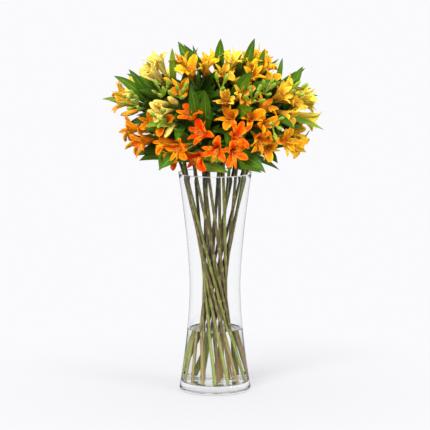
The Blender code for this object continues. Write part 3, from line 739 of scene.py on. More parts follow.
def bud_skin(poses, shades, length, radius, kind):
    """Closed flowers: a spindle whose radius is a power of the height times a power of the rest, with
    three rounded lobes that wind round it by a quarter turn."""
    base, facing, side, other = (each[:, None] for each in pose_arrays(poses))
    size = np.array([pose.size for pose in poses])[:, None, None]
    along = np.array(BUD_ROWS)[:, None]
    turn = ring_turns(12)
    lobes = np.cos(3 * (turn - along * math.pi / 2))
    wide = BASE_RADIUS * 0.9 * (1 - along) ** 3 + radius * size * 1.85 * along**0.52 * (1 - along) ** 0.55
    wide = wide * (1 + 0.10 * lobes * smooth_step(along / 0.3))
    wide[:, 0] = 0
    points = base[:, None] + facing[:, None] * (length * size * along)[..., None]
    points = points + arms(side, other, turn) * wide[..., None]
    return skin(points, along=along, across=lobes, front=-1.0, shade=shades[:, None, None], kind=kind)


def curve_arrays(things, *names):
    """Points or directions of flowers or leaves, by their names, as arrays of shape (thing, 1, 3)."""
    return (np.array([getattr(thing, name)[:] for thing in things])[:, None] for name in names)


def stalk_skin(poses, shades):
    """Stalks on the curve from the hub to the flower's base, each with a ribbed swelling under the
    flower: a bell curve of the way left to the base."""
    hub, bend, base = curve_arrays(poses, "hub", "bend", "base")
    length = np.linalg.norm(bend - hub, axis=-1) + np.linalg.norm(base - bend, axis=-1)
    left = np.array([0.010, 0.0085, 0.007, 0.0055, 0.004, 0.0025, 0.0012, 0.0])
    share = np.concatenate(
        [np.linspace(0, 1, 6)[:-1] * (1 - left[0] / length), 1 - left / length], axis=1
    )[..., None]
    path = bowed(hub, bend, base, share)
    way_left = (1 - share[..., 0]) * length / OVARY_LENGTH
    swelling = np.exp(-(((way_left - 0.45) / 0.34) ** 2))
    radius = PEDICEL_RADIUS * 0.9 + (OVARY_RADIUS - PEDICEL_RADIUS * 0.9) * swelling
    side = pose_arrays(poses)[2][:, None]
    points = swept_rings(path, radius, side, STALK_RING, 6, 0.12 * swelling)
    ribs = np.cos(6 * ring_turns(STALK_RING))
    shade = shades[:, None, None]
    return skin(points, along=with_end_rows(share[..., 0]), across=ribs, shade=shade)


# Sprays of young buds: place in millimetres, direction and number
BUD_SPRAYS = (
    ((-136, -85, 530), (-0.40, -0.70, 0.30), 7),
    ((-90, -98, 548), (-0.20, -0.80, 0.60), 5),
    ((-62, -105, 545), (0.10, -0.80, 0.60), 5),
    ((-98, -112, 508), (-0.10, -1.00, 0.10), 4),
    ((66, -108, 540), (0.10, -0.90, 0.50), 7),
    ((86, -100, 552), (0.30, -0.80, 0.50), 5),
    ((134, -50, 545), (0.60, -0.50, 0.50), 5),
    ((100, -108, 498), (0.20, -1.00, -0.10), 4),
    ((10, -105, 560), (0.10, -0.80, 0.70), 4),
)


def spray_florets(head):
    """Young buds of the sprays whose place is nearest this head, which leave that place in golden turns
    round the spray's direction."""
    found = []
    for place, aim, count in BUD_SPRAYS:
        place, aim = Vector(metres(*place)), Vector(aim).normalized()
        if nearest_head(place) != head:
            continue
        draw = random.Random(f"spray {place.x} {place.z}")
        for number in range(count):
            away, turn = 0.95 * math.sqrt((number + 0.3) / count), GOLDEN_TURN * number
            ray = leaning(aim, away, turn)
            reach = draw.uniform(0.014, 0.024)
            bend = place + ray * reach * 0.6
            base = place + ray * reach + aim * 0.003
            size = draw.uniform(0.75, 1.15)
            found.append(Floret("young", place, bend, base, (ray + aim).normalized(), turn, size, 0.0))
    return found


def hub_skin(head):
    """The knob that a head's stalks grow from: a ball drawn out a little along the stem."""
    _, heading = stem_top(head)
    side, other = (np.array(each[:]) for each in frame_of(heading))
    lean = np.linspace(0, math.pi, 9)
    turn = ring_turns(12)
    along = -np.cos(lean) * HUB_RADIUS * 1.02
    points = np.array(head.hub) + np.array(heading[:]) * along[:, None, None]
    points = points + arms(side, other, turn) * (np.sin(lean) * HUB_RADIUS * 0.94)[:, None, None]
    return skin(points[None], across=np.cos(5 * turn), shade=0.5)


def stamen_skins(poses, shades, draw):
    """Six filaments a flower, which rise from the throat, spread by a square law and droop by one, and
    a spindle-shaped anther on the end of each."""
    base, facing, side, other = pose_arrays(poses)
    count = len(poses) * 6
    out = arms(side, other, (np.arange(6) + 0.5) * math.tau / 6).reshape(count, 1, 3)
    down = np.array([0, 0, -1]) - facing * dot(np.array([0, 0, -1]), facing)
    base, facing, down = (np.repeat(each, 6, axis=0)[:, None] for each in (base, facing, down))
    sizes, flares = zip(*((pose.size, pose.flare) for pose in poses))
    size, flare, shade = (np.repeat(each, 6)[:, None, None] for each in (sizes, flares, shades))
    reach = draw.uniform(*FILAMENT_LENGTHS, (count, 1, 1)) * size
    spread = draw.uniform(*FILAMENT_SPREADS, (count, 1, 1)) * flare
    droop = draw.uniform(*FILAMENT_DROOPS, (count, 1, 1)) * flare
    way = np.linspace(0.05, 1, 6)[:, None]
    path = base + facing * reach * way + out * (FILAMENT_START + spread * way**2) + down * droop * way**2
    radius = np.full(path.shape[:2], FILAMENT_RADIUS)
    filaments = skin(swept_rings(path, radius, out, 4), shade=shade)
    end = path[:, -1:]
    tilt = unit(unit(end - path[:, -2:-1]) + out * 0.5)
    way = np.linspace(0, 1, 6)
    path = end + tilt * (ANTHER_LENGTH * (way - 0.25))[:, None]
    radius = np.broadcast_to(ANTHER_RADIUS * np.sin(math.pi * way) ** 0.6, path.shape[:2])
    anthers = skin(swept_rings(path, radius, down + 0.3 * out, 6), along=1.0, shade=shade)
    return [filaments, anthers]


# Leaves and stems

LEAF_RING = 12
LEAF_ROWS = (0, 0, 0.05, 0.12, 0.20, 0.29, 0.38, 0.47, 0.56, 0.65, 0.74, 0.82, 0.89, 0.95, 0.985, 1)
INNER_LEAF_RING = 8
INNER_LEAF_ROWS = (0, 0, 0.08, 0.20, 0.34, 0.50, 0.66, 0.80, 0.92, 1)
STEM_RING = 12

# How far the bouquet reaches from its middle along x, y and z
BOUQUET_REACH = Vector((0.182, 0.140, 0.106))

# Inner leaves: how far their middle lines stay from the flowers' solids, and ranges of their draws
FLOWER_ROOM = 0.004
INNER_LEANS = (0.35, 1.5)
INNER_LENGTHS = (0.050, 0.085)
INNER_HALF_WIDTHS = (0.008, 0.012)

# Stems: taper over the whole length, swelling at a leaf's scar and its reach along the stem, and the
# rings that draw it
STEM_TAPER = 0.10
SCAR_SWELLING = 0.13
SCAR_REACH = 0.0022
SCAR_ROWS = (-0.004, -0.002, 0.0, 0.002, 0.004)

# Leaves that stand in front of the flowers: root, tip and half width in millimetres
FRONT_LEAVES = (
    ((-25, -105, 487), (-43, -146, 570), 11.5),
    ((-5, -105, 495), (-18, -146, 562), 10.5),
    ((-67, -100, 485), (-123, -140, 498), 8.5),
    ((-54, -80, 459), (-99, -128, 420), 13),
    ((-127, -40, 539), (-180, -60, 580), 8.5),
    ((-125, -45, 544), (-154, -50, 591), 7.5),
    ((-78, -40, 582), (-76, -50, 629), 6.5),
    ((-43, -30, 596), (-66, -40, 640), 9),
    ((-25, -25, 603), (-40, -30, 633), 4),
    ((3, -30, 600), (10, -40, 645), 9),
    ((56, -25, 599), (71, -30, 645), 8),
    ((95, -20, 591), (90, -20, 626), 5.5),
    ((115, -15, 575), (121, -15, 609), 5),
    ((149, -10, 548), (158, -10, 593), 8),
    ((160, 0, 550), (186, 0, 539), 4.5),
    ((29, -90, 549), (66, -128, 593), 12),
    ((69, -85, 576), (110, -105, 575), 8.5),
    ((29, -105, 502), (67, -148, 531), 10.5),
    ((54, -80, 450), (89, -128, 415), 12),
    ((42, -80, 450), (25, -122, 415), 9),
    ((-167, 0, 530), (-204, 0, 533), 5.5),
    ((123, -80, 510), (141, -120, 489), 6.5),
)


def front_leaves(head):
    """The leaves in front whose root is nearest this head. They arch up and out, face the front, and
    their roots are drawn back towards the head's stem."""
    found = []
    for root, tip, half_width in FRONT_LEAVES:
        root, tip = Vector(metres(*root)), Vector(metres(*tip))
        if nearest_head(root) == head:
            root = root.lerp(stem_below(head, WHORL_BELOW[0]), 0.45)
            chord = tip - root
            bend = root + chord * 0.5 + Vector((0, -0.06, 0.16)) * chord.length
            across = chord.cross(Vector((0, -1, 0.25))).normalized()
            found.append(Leaf(head, root, bend, tip, across, half_width / 1000))
    return found


def turned_to_front(leaf, share):
    """The leaf with its face turned about its own length, this share of the way, to the front."""
    axis = (leaf.tip - leaf.root).normalized()
    flat = axis.cross(Vector((0, -1, 0.2))).normalized()
    flat = flat if flat.dot(leaf.across) > 0 else -flat
    return leaf._replace(across=leaf.across.lerp(flat, share).normalized())


def inner_leaves(head, count):
    """More leaves under a head, which fill the bouquet's depth: each is drawn again until its tip lies
    inside the bouquet and its middle line runs clear of the flowers."""
    draw = random.Random(f"inner leaves {head.name}")
    axis = whorl_axis(head, 0.6, 0.8)
    found = []
    for number in range(count * 8):
        if len(found) == count:
            break
        below = draw.choice(WHORL_BELOW[:4])
        ray = leaning(axis, draw.uniform(*INNER_LEANS), GOLDEN_TURN * number)
        tip = stem_below(head, below) + ray * draw.uniform(*INNER_LENGTHS)
        leaf = leaf_towards(head, below, tip, draw.uniform(*INNER_HALF_WIDTHS), draw)
        shares = [way / reach for way, reach in zip(tip - BOUQUET_MIDDLE, BOUQUET_REACH)]
        line = [bowed(leaf.root, leaf.bend, tip, share) for share in (0.5, 0.7, 0.85, 1)]
        clear = all(corners_of(*FLOWER_NODES).find(point)[2] > FLOWER_ROOM for point in line)
        if clear and Vector(shares).length < 1:
            found.append(turned_to_front(leaf, 0.35 if leaf.tip.y < 0 else 0.0))
    return found


def leaf_width(share):
    """Half width along a leaf, 1 at its widest: a power curve from the root times one to the tip."""
    return (share / 0.42) ** 0.75 * ((1 - share) / 0.58) ** 1.03


def leaf_skin(leaves, rows, ring_steps, settings, draw):
    """Leaves on the curve from root to tip. A point is the curve's, plus the width times the cosine of
    the ring's angle, plus a fold that lifts the edges, plus half the thickness times the sine, plus
    waves along the edges. The root is a short, thicker stalk."""
    root, bend, tip, across = curve_arrays(leaves, "root", "bend", "tip", "across")
    half = np.array([leaf.half_width for leaf in leaves])[:, None]
    along = np.array(rows)[:, None]
    path = bowed(root, bend, tip, along)
    axis = unit((bend - root) * (1 - along) + (tip - bend) * along)
    across = unit(across - axis * dot(across, axis))
    face = np.cross(across, axis)
    share = along[:, 0]
    stalk = LEAF_ROOT_HALF_WIDTH * (1 - share) ** 5
    width = np.sqrt((half * leaf_width(share)) ** 2 + stalk**2)
    width[:, (0, -1)] = 0
    thick = settings.thickness / 2 + 0.0005 * (1 - share) ** 9
    ring = ring_turns(ring_steps)
    sideways, lift = np.cos(ring), np.sin(ring)
    phase = draw.uniform(0, math.tau, (2, len(leaves), 1, 1))
    wave = edge_waves(along, sideways, phase, 2.3, 3.1, 1.0)
    wide = width[..., None]
    rise = wide * LEAF_FOLD * (2 * np.abs(sideways) ** 1.3 - 1) * smooth_step(along / 0.2)
    rise = rise + settings.wave * wide * wave * smooth_step(along / 0.4)
    rise = rise + (thick * (share < 1))[:, None] * lift
    rise[:, (0, -1)] = 0
    points = path[:, :, None] - across[:, :, None] * (wide * sideways)[..., None]
    points = points + face[:, :, None] * rise[..., None]
    shade = draw.uniform(0, 1, (len(leaves), 1, 1))
    return skin(points, 1, along=along, across=sideways, front=lift, shade=shade)


def stem_skin(head, settings, draw):
    """The stem's tube on its own curve. It tapers slightly upwards, and swells in a bell curve at each
    place where a leaf was stripped. Its kind is 1 on the side that faces the bundle's axis and -1 on
    the side that faces out."""
    curve = np.array([stem_point(head, share)[:] for share in np.linspace(0, 2, 161)])
    way = np.concatenate([[0], np.cumsum(np.linalg.norm(np.diff(curve, axis=0), axis=1))])
    spacing = settings.node_spacing
    nodes = np.arange(spacing * draw.uniform(0.3, 1.0), way[-1] - 0.02, spacing)
    nodes = nodes + draw.uniform(-0.25, 0.25, len(nodes)) * spacing
    rows = [np.linspace(0, way[-1], 34), [0.0006, way[-1] - 0.0006], (nodes[:, None] + SCAR_ROWS).ravel()]
    at = np.concatenate(rows)
    at = np.unique(np.round(np.clip(at, 0, way[-1]), 5))
    path = np.stack([np.interp(at, way, curve[:, axis]) for axis in range(3)], axis=-1)[None]
    swelling = np.exp(-(((at[:, None] - nodes) / SCAR_REACH) ** 2)).sum(axis=1)
    radius = STEM_RADIUS * (1.02 - STEM_TAPER * at / way[-1] + SCAR_SWELLING * swelling)[None]
    points = swept_rings(path, radius, np.array([1.0, 0.0, 0.0]), STEM_RING)
    middle = np.pad(path, ((0, 0), (1, 1), (0, 0)), mode="edge")[:, :, None]
    to_axis = unit(-middle * np.array([1.0, 1.0, 0.0]))
    return skin(
        points, along=with_end_rows(at[None] / way[-1]), across=np.cos(ring_turns(STEM_RING) * 3),
        front=with_end_rows(swelling[None]), shade=draw.uniform(0, 1),
        kind=((points - middle) * to_axis).sum(-1) / STEM_RADIUS,
    )


# Materials

# What the glass and the water let through to light what stands behind, and how water bends light
GLASS_SHADOW = (0.965, 0.97, 0.97)
WATER_SHADOW = (0.97, 0.975, 0.965)
WATER_BENDING = 1.333

# Between these heights the glass turns from clear into the lip
LIP_HEIGHTS = (VASE_HEIGHT - 0.0022, VASE_HEIGHT - 0.0006)


class NodeTree:
    """A node tree under way: short calls that add its nodes and return their outputs."""

    def __init__(self, tree):
        self.tree = tree

    def put(self, node, key, value):
        if isinstance(value, bpy.types.NodeSocket):
            self.tree.links.new(value, node.inputs[key])
        elif value is not None:
            if hasattr(value, "__len__") and len(value) == 3 and node.inputs[key].type == "RGBA":
                value = (*value, 1.0)
            node.inputs[key].default_value = value

    def add(self, kind, inputs=(), **settings):
        node = self.tree.nodes.new("ShaderNode" + kind)
        for name, value in settings.items():
            setattr(node, name, value)
        for key, value in dict(inputs).items():
            self.put(node, key, value)
        return node

    def mark(self, name):
        return self.add("Attribute", attribute_name=name).outputs["Fac"]

    def place(self):
        return self.add("TexCoord").outputs["Object"]

    def math(self, operation, first, second=None):
        return self.add("Math", {0: first, 1: second}, operation=operation).outputs[0]

    def times(self, *factors):
        product = factors[0]
        for factor in factors[1:]:
            product = self.math("MULTIPLY", product, factor)
        return product

    def vector(self, operation, first, second=None):
        return self.add("VectorMath", {0: first, 1: second}, operation=operation).outputs

    def height(self):
        return self.add("SeparateXYZ", {0: self.place()}).outputs[2]

    def noise(self, vector, scale, detail=2.0):
        return self.add("TexNoise", {"Vector": vector, "Scale": scale, "Detail": detail}).outputs[0]

    def between(self, value, low, high, start=0.0, end=1.0):
        """Value from low to high as start to end, smooth at both ends."""
        inputs = {"Value": value, "From Min": low, "From Max": high, "To Min": start, "To Max": end}
        return self.add("MapRange", inputs, interpolation_type="SMOOTHSTEP").outputs[0]

    def blend(self, share, first, second):
        """Numbers mixed in a line."""
        return self.add("Mix", {0: share, 2: first, 3: second}, data_type="FLOAT").outputs[0]

    def mix(self, share, first, second):
        """Colours mixed."""
        return self.add("Mix", {0: share, 6: first, 7: second}, data_type="RGBA").outputs[2]

    def mix_shaders(self, share, first, second):
        return self.add("MixShader", {0: share, 1: first, 2: second}).outputs[0]


class Finish(NodeTree):
    """A material under way, with its one principled shader and the colour that its layers make."""

    def __init__(self, name):
        self.material = bpy.data.materials.new(name)
        self.material.use_nodes = True
        super().__init__(self.material.node_tree)
        self.shader = self.tree.nodes["Principled BSDF"]
        self.output = self.tree.nodes["Material Output"]
        self.colour = None

    def set(self, **values):
        for key, value in values.items():
            self.put(self.shader, key.replace("_", " "), value)

    def over(self, colour, *shares):
        """Lays a colour over those before, by the product of the shares."""
        self.colour = self.mix(self.times(*shares), self.colour, colour)

    def grain(self, across, along, shade, scale, detail=2.0):
        """Noise stretched by factors across and along a blade, and different for each shade."""
        factors = {"across": across, "along": along, "shade": shade}
        places = [self.times(self.mark(name), factor) for name, factor in factors.items()]
        return self.noise(self.add("CombineXYZ", dict(enumerate(places))).outputs[0], scale, detail)

    def bump(self, height, strength, distance):
        inputs = {"Height": height, "Strength": strength, "Distance": distance}
        self.put(self.shader, "Normal", self.add("Bump", inputs).outputs[0])

    def finished(self, roughness, shine, bumps, strength, distance):
        """The opaque material, with its colour, roughness, mirroring and bumps set."""
        self.set(Base_Color=self.colour, Roughness=roughness, Specular_IOR_Level=shine)
        self.bump(bumps, strength, distance)
        return self.material

    def finished_glassy(self, settings, shadow, bending, clear, waviness, distance, scale):
        """The clear material, with fine waves. Shadow rays pass straight through it and take on the
        shadow's colour, so that what stands in the glass is lit."""
        self.set(Base_Color=settings.tint, Roughness=0.0, IOR=bending, Transmission_Weight=clear)
        self.set(Specular_Tint=(settings.glare,) * 3)
        self.bump(self.noise(self.place(), scale, 1.0), waviness, distance)
        is_shadow = self.add("LightPath").outputs["Is Shadow Ray"]
        through = self.add("BsdfTransparent", {"Color": shadow}).outputs[0]
        mixed = self.mix_shaders(is_shadow, self.shader.outputs[0], through)
        self.put(self.output, "Surface", mixed)
        return self.material

    def deep_inside(self):
        """A mask for shade painted into the colours: 1 deep in the bouquet and 0 near its outside, by the
        way from its middle in shares of its reach to each side."""
        way = self.vector("SUBTRACT", self.place(), BOUQUET_MIDDLE)[0]
        shares = self.vector("DIVIDE", way, BOUQUET_REACH)[0]
        return self.between(self.vector("LENGTH", shares)["Value"], 0.98, 0.62)


def scaled(colour, *factors):
    """A colour with its red, green and blue each multiplied, kept under 1."""
    return tuple(min(channel * factor, 0.95) for channel, factor in zip(colour, factors))


def glass_finish(settings):
    """Clear glass with the faint waviness of blown work, and a less clear lip."""
    made = Finish("clear_glass")
    clear = made.between(made.height(), *LIP_HEIGHTS, 1.0, settings.lip)
    made.set(Specular_IOR_Level=0.30)
    bending, waviness = settings.bending, settings.waviness
    return made.finished_glassy(settings, GLASS_SHADOW, bending, clear, waviness, 0.002, 18.0)


def water_finish(settings):
    """Still water with a breath of green."""
    return Finish("water").finished_glassy(settings, WATER_SHADOW, WATER_BENDING, 1.0, 0.02, 0.001, 40.0)


def petal_finish(name, tint, settings):
    """A petal: redder along its middle and on fine dark lines, paler outside, at its edges and on its
    rim, and paler all over by its own shade. All inner tepals have a yellow patch, and the streaked ones
    dark dashes. The outside is green at its base and tip. How strong a layer is goes by the tint."""
    made = Finish(name)
    between, times = made.between, made.times
    along, across, front, shade, kind = map(made.mark, MARKS)
    gold = tint[1]
    outside = between(front, 0.1, -0.4)
    side = made.math("ABSOLUTE", across)
    deep = scaled(tint, 1.08, 0.32 + 1.25 * gold, 0.2 + gold**2)
    pale = (1.08 * tint[0], min((1.42 + 0.35 * gold) * gold, 0.78), 0.5 * tint[2] + 0.9 * gold**4)
    rim = (0.93, min(1.4 * gold + 0.20, 0.84), 0.9 * gold**3)
    made.colour = made.mix(between(shade, -0.15, 0.85), deep, pale)
    vein = made.grain(3.2, 0.9, 9.0, 3.6, 3.0)
    flush = times(between(side, 0.75, 0.0), between(vein, 0.30, 0.70), between(kind, 1.0, 0.0, 0.45, 0.9))
    made.over(scaled(deep, 1.0, 0.62, 0.6), flush, 1.0 - gold)
    made.over(rim, outside, 0.10 + 0.9 * gold**1.5)
    edge = made.math("ADD", side, between(made.grain(0.8, 1.6, 23.0, 1.6), 0.3, 0.7, -0.35, 0.3))
    made.over(rim, between(edge, 0.45, 1.05), between(along, 0.25, 0.60), 0.26 + gold)
    made.over(scaled(tint, 0.95, 0.56 + 0.6 * gold, 0.7), between(along, 0.50, 0.12), 0.85)
    patch = times(between(along, 0.34, 0.5), between(along, 0.80, 0.62), between(kind, 0.4, 0.9))
    made.over(settings.blaze, patch, 0.55)
    lines = times(between(made.grain(9.0, 1.1, 17.0, 3.0), 0.52, 0.68), between(along, 0.05, 0.3))
    made.over(scaled(deep, 0.85, 0.38, 0.4), lines, 0.98 - 0.85 * gold)
    made.over(rim, between(side, 0.80, 0.97), between(along, 0.3, 0.6), min(0.50 + 1.3 * gold, 0.95))
    dashed = times(between(along, 0.28, 0.42), between(along, 0.90, 0.76), between(front, -0.1, 0.3))
    dashes = between(made.grain(5.5, 6.0, 31.0, 2.8, 0.0), 0.62, 0.68)
    made.over(settings.dash, dashes, between(kind, 1.4, 1.9), dashed, 0.85)
    ends = made.math("MAXIMUM", between(along, 0.36, 0.05), between(along, 0.93, 0.99, 0.0, 0.6))
    made.over(settings.green, ends, between(side, 0.6, 0.05), outside, min(0.15 + 1.1 * gold, 0.75))
    # Painted shade: petals darker deep inside the bouquet, where other flowers and leaves shade them
    made.over(scaled(deep, 0.45, 0.30, 0.2), made.deep_inside(), 0.6)
    made.set(Subsurface_Weight=0.22, Subsurface_Scale=0.006, Subsurface_Radius=(1.0, 0.35, 0.04))
    return made.finished(between(vein, 0.2, 0.8, 0.42, 0.60), 0.05, vein, 0.6, 0.0010)


def leaf_finish(settings):
    """A glossy leaf: green, darker or lighter by leaf and in patches, and pale on a few young leaves.
    Its middle rib, close veins and foot are paler, and its underside is paler and duller."""
    made = Finish("leaf_green")
    between, times = made.between, made.times
    along, across, front, shade, _ = map(made.mark, MARKS)
    patches = made.noise(made.place(), 28.0, 3.0)
    tone = between(made.math("ADD", shade, times(patches, 0.5)), 0.50, 1.40)
    made.colour = made.mix(tone, settings.dark, settings.light)
    made.over(settings.young, between(shade, 0.84, 0.90, 0.0, 0.6))
    veins = made.math("ADD", times(made.math("SINE", times(across, 26.0)), 0.5), 0.5)
    made.over(settings.vein, made.math("POWER", veins, 3.0), 0.22)
    rib = between(made.math("ABSOLUTE", across), 0.12, 0.02)
    made.over(settings.vein, rib, 0.42)
    made.over(settings.vein, between(along, 0.16, 0.0, 0.0, 0.6))
    under = between(front, 0.1, -0.5)
    made.over(scaled(settings.light, 1.3, 1.05, 2.0), under, 0.4)
    # Painted shade: leaves darker deep inside the bouquet, where other flowers and leaves shade them
    made.over(scaled(settings.dark, 0.16, 0.16, 0.16), made.deep_inside(), 0.80)
    rough = made.math("ADD", between(patches, 0.3, 0.7, 0.26, 0.40), times(under, 0.15))
    return made.finished(rough, 0.24, made.math("SUBTRACT", veins, times(rib, 2.0)), 0.6, 0.0005)


def stem_finish(settings):
    """A stem's skin: brown, olive or bright green by stem, with dark streaks along it and pale streaks that
    are painted highlights, paler scars, a paler foot in the water, and dark above the water on the side
    that faces the bundle's axis, where the other stems shade it."""
    made = Finish("stem_skin")
    between, times = made.between, made.times
    along, _, scar, shade, inward = map(made.mark, MARKS)
    streaks = made.grain(1.2, 14.0, 40.0, 2.0, 4.0)
    tone = made.math("ADD", shade, between(streaks, 0.3, 0.7, -0.34, 0.34))
    made.colour = made.mix(between(tone, 0.20, 0.50), settings.brown, settings.olive)
    made.over(scaled(settings.brown, 0.35, 0.38, 0.3), between(streaks, 0.58, 0.36, 0.0, 0.8))
    made.over(settings.bright, between(tone, 0.72, 0.95))
    pale = made.mix(between(shade, 0.2, 0.7), settings.soaked, scaled(settings.bright, 1.05, 0.98, 2.6))
    made.over(pale, between(along, 0.24, 0.12, 0.0, 0.60))
    made.over(scaled(settings.bright, 1.2, 1.0, 2.0), scar, 0.5)
    # Painted highlights: pale streaks where the streak noise is high
    made.over(settings.sheen, between(streaks, 0.57, 0.66, 0.0, 0.85))
    above_water = between(made.height(), 0.10, 0.15)
    made.over(scaled(settings.brown, 0.12, 0.16, 0.12), between(inward, -0.2, 0.7), above_water, 0.95)
    return made.finished(between(streaks, 0.2, 0.8, 0.4, 0.6), 0.3, streaks, 0.5, 0.0006)


def stalk_finish(settings):
    """Stalks, seed cases and young buds: fresh green in patches, with shade painted darker into the grooves
    between the ribs.
    A stalk is flushed where it nears its flower, and a young bud is paler towards its tip."""
    made = Finish("stalk_green")
    between, times = made.between, made.times
    along, across, _, shade, kind = map(made.mark, MARKS)
    patches = made.noise(made.place(), 60.0, 3.0)
    made.colour = made.mix(times(patches, shade), settings.stalk, scaled(settings.stalk, 1.5, 1.25, 1.3))
    made.over(settings.flush, between(along, 0.35, 0.8), between(kind, 0.5, 0.1), 0.3)
    # Painted shade: darker in the grooves between the ribs
    made.over(scaled(settings.stalk, 0.45, 0.5, 0.45), between(across, 0.0, -0.9, 0.0, 0.4))
    made.over(settings.young, kind, between(along, 0.1, 0.7, 0.35, 0.9))
    # Painted shade: stalks darker deep inside the bouquet, where flowers and leaves shade them
    made.over(scaled(settings.stalk, 0.12, 0.14, 0.12), made.deep_inside(), 0.7)
    return made.finished(between(patches, 0.3, 0.7, 0.38, 0.5), 0.3, patches, 0.2, 0.0004)


def stamen_finish(settings):
    """Yellow-orange filaments, and dusty brown anthers."""
    made = Finish("stamens")
    along, _, _, shade, _ = map(made.mark, MARKS)
    dust = made.noise(made.place(), 900.0, 2.0)
    made.colour = made.mix(shade, settings.filament, scaled(settings.filament, 1.0, 1.4, 1.4))
    made.over(made.mix(dust, settings.anther, scaled(settings.anther, 2.2, 2.0, 1.6)), along)
    return made.finished(made.between(dust, 0.3, 0.7, 0.55, 0.8), 0.3, dust, 0.5, 0.0002)


# Stage

# White with a trace of blue, for the background and the far floor
BACKDROP = (1.005, 1.005, 1.025)

# Brightness of the panel overhead that glossy things mirror
MIRRORED_PANEL = 1.6

# The floor: radii of its rings, steps round them, and how far it lies below the vase
FLOOR_RINGS = (0.1, 0.5, 2.0, 10.0, 60.0)
FLOOR_STEPS = 48
FLOOR_DROP = 0.0001

# How far the camera sees
SEEN_TO = 200


def turn_to(made, heading):
    """Turns a lamp or camera to look along this direction."""
    made.rotation_euler = Vector(heading).to_track_quat("-Z", "Y").to_euler()


def add_floor(settings):
    """A wide flat disc, rings of growing radius round the vase. Near the vase it is partly lit and shaded,
    and outwards it fades into plain white. Mirrored, or as light thrown back on to the bouquet, it is a
    darker, even light, as in a room."""
    finish = Finish("floor")
    finish.set(Base_Color=settings.floor, Roughness=0.9, Specular_IOR_Level=0.0)
    away = finish.vector("LENGTH", finish.place())["Value"]
    far = finish.add("Emission", {"Color": BACKDROP, "Strength": settings.white}).outputs[0]
    under = finish.between(away, 0.05, 0.08, 0.7, 1.0)
    share = finish.times(finish.between(away, 0.12, 0.60, 0.55, 1.0), under)
    near = finish.mix_shaders(share, finish.shader.outputs[0], far)
    path = finish.add("LightPath").outputs
    strength = finish.blend(path["Is Glossy Ray"], settings.bounce, settings.room)
    dark = finish.add("Emission", {"Strength": strength}).outputs[0]
    seen = finish.mix_shaders(path["Is Reflection Ray"], near, dark)
    finish.put(finish.output, "Surface", seen)
    radius, turn = np.array(FLOOR_RINGS)[:, None], ring_turns(FLOOR_STEPS)
    points = np.broadcast_arrays(radius * np.cos(turn), radius * np.sin(turn), -FLOOR_DROP)
    here = np.arange(radius.size * FLOOR_STEPS).reshape(radius.size, FLOOR_STEPS)
    after = np.roll(here, -1, axis=1)
    faces = np.stack([here[:-1], here[1:], after[1:], after[:-1]], axis=-1).reshape(-1, 4)
    mesh = bpy.data.meshes.new("floor")
    mesh.from_pydata(np.stack(points, -1).reshape(-1, 3).tolist(), [], [here[0].tolist()] + faces.tolist())
    mesh.materials.append(finish.material)
    add_object("floor", mesh)


def add_sky(scene, settings):
    """White where the camera sees it, and brighter overhead than near the horizon as a light. Glossy
    things mirror a dim room with a bright panel overhead. Rays that glass bends upwards meet a dark
    ceiling, which draws the glass's edges."""
    scene.world = bpy.data.worlds.new("studio")
    scene.world.use_nodes = True
    sky = NodeTree(scene.world.node_tree)
    direction = sky.add("TexCoord").outputs["Generated"]
    up = sky.add("SeparateXYZ", {0: direction}).outputs[2]
    path = sky.add("LightPath").outputs
    light = sky.between(up, 0.0, 0.9, settings.sky * 0.85, settings.sky * 1.1)
    mirrored = sky.between(up, 0.35, 0.75, settings.room, MIRRORED_PANEL)
    bent = sky.between(up, 0.15, 0.60, settings.white, settings.edge)
    strength = sky.blend(sky.times(path["Is Glossy Ray"], path["Is Reflection Ray"]), light, mirrored)
    strength = sky.blend(sky.times(path["Is Glossy Ray"], path["Is Transmission Ray"]), strength, bent)
    strength = sky.blend(path["Is Camera Ray"], strength, settings.white)
    background = sky.tree.nodes["Background"]
    sky.put(background, "Color", BACKDROP)
    sky.put(background, "Strength", strength)


def add_suns(settings):
    """Two wide soft lights, both from the front: the main one from high up and a little to the left,
    and a weaker, lower one from the right. Rays through the glass don't meet them."""
    for name, strength, heading in (
        ("sun", settings.sun, (0.48, 0.85, -0.65)),
        ("fill", settings.fill, (-0.80, 0.55, -0.30)),
    ):
        lamp = bpy.data.lights.new(name, "SUN")
        lamp.energy = strength
        lamp.angle = settings.sun_width
        sun = add_object(name, lamp)
        sun.visible_transmission = False
        turn_to(sun, heading)


def add_camera(scene, settings):
    """The camera straight in front, tilted down to the middle of the whole."""
    lens = bpy.data.cameras.new("camera")
    lens.lens = settings.lens
    lens.clip_end = SEEN_TO
    camera = add_object("camera", lens)
    camera.location = (0, -settings.distance, settings.eye)
    turn_to(camera, Vector((0, 0, settings.target)) - camera.location)
    scene.camera = camera


# Settings


def colour_property(name, description, default):
    return FloatVectorProperty(
        name=name, description=description, default=tuple(default[:3]), subtype="COLOR", min=0.0, max=1.0
    )


def tint_property(name, description):
    return colour_property(name, description, SLOT_COLOURS[f"petal_{name.lower()}"])


def length_property(name, description, default):
    return FloatProperty(name=name, description=description, default=default, unit="LENGTH")


def share_property(name, description, default):
    return FloatProperty(name=name, description=description, default=default, subtype="FACTOR")


def strength_property(name, description, default):
    return FloatProperty(name=name, description=description, default=default, min=0)


class VaseSettings(bpy.types.PropertyGroup):
    """Sizes and colour of the glass."""

    tint: colour_property("Tint", "Colour of the glass", (0.985, 0.988, 0.985))
    bending: FloatProperty(name="Bending", description="How strongly it bends light", default=1.45, min=1.0)
    glare: share_property("Glare", "How strongly it mirrors", 0.25)
    lip: share_property("Lip", "Clearness of the polished lip", 0.35)
    waviness: share_property("Waviness", "How wavy the glass is", 0.02)
    hollow: length_property("Hollow", "Rise of the hollow under the foot", 0.0034)
    facets: IntProperty(name="Facets", description="Steps round the glass", default=144, min=24)


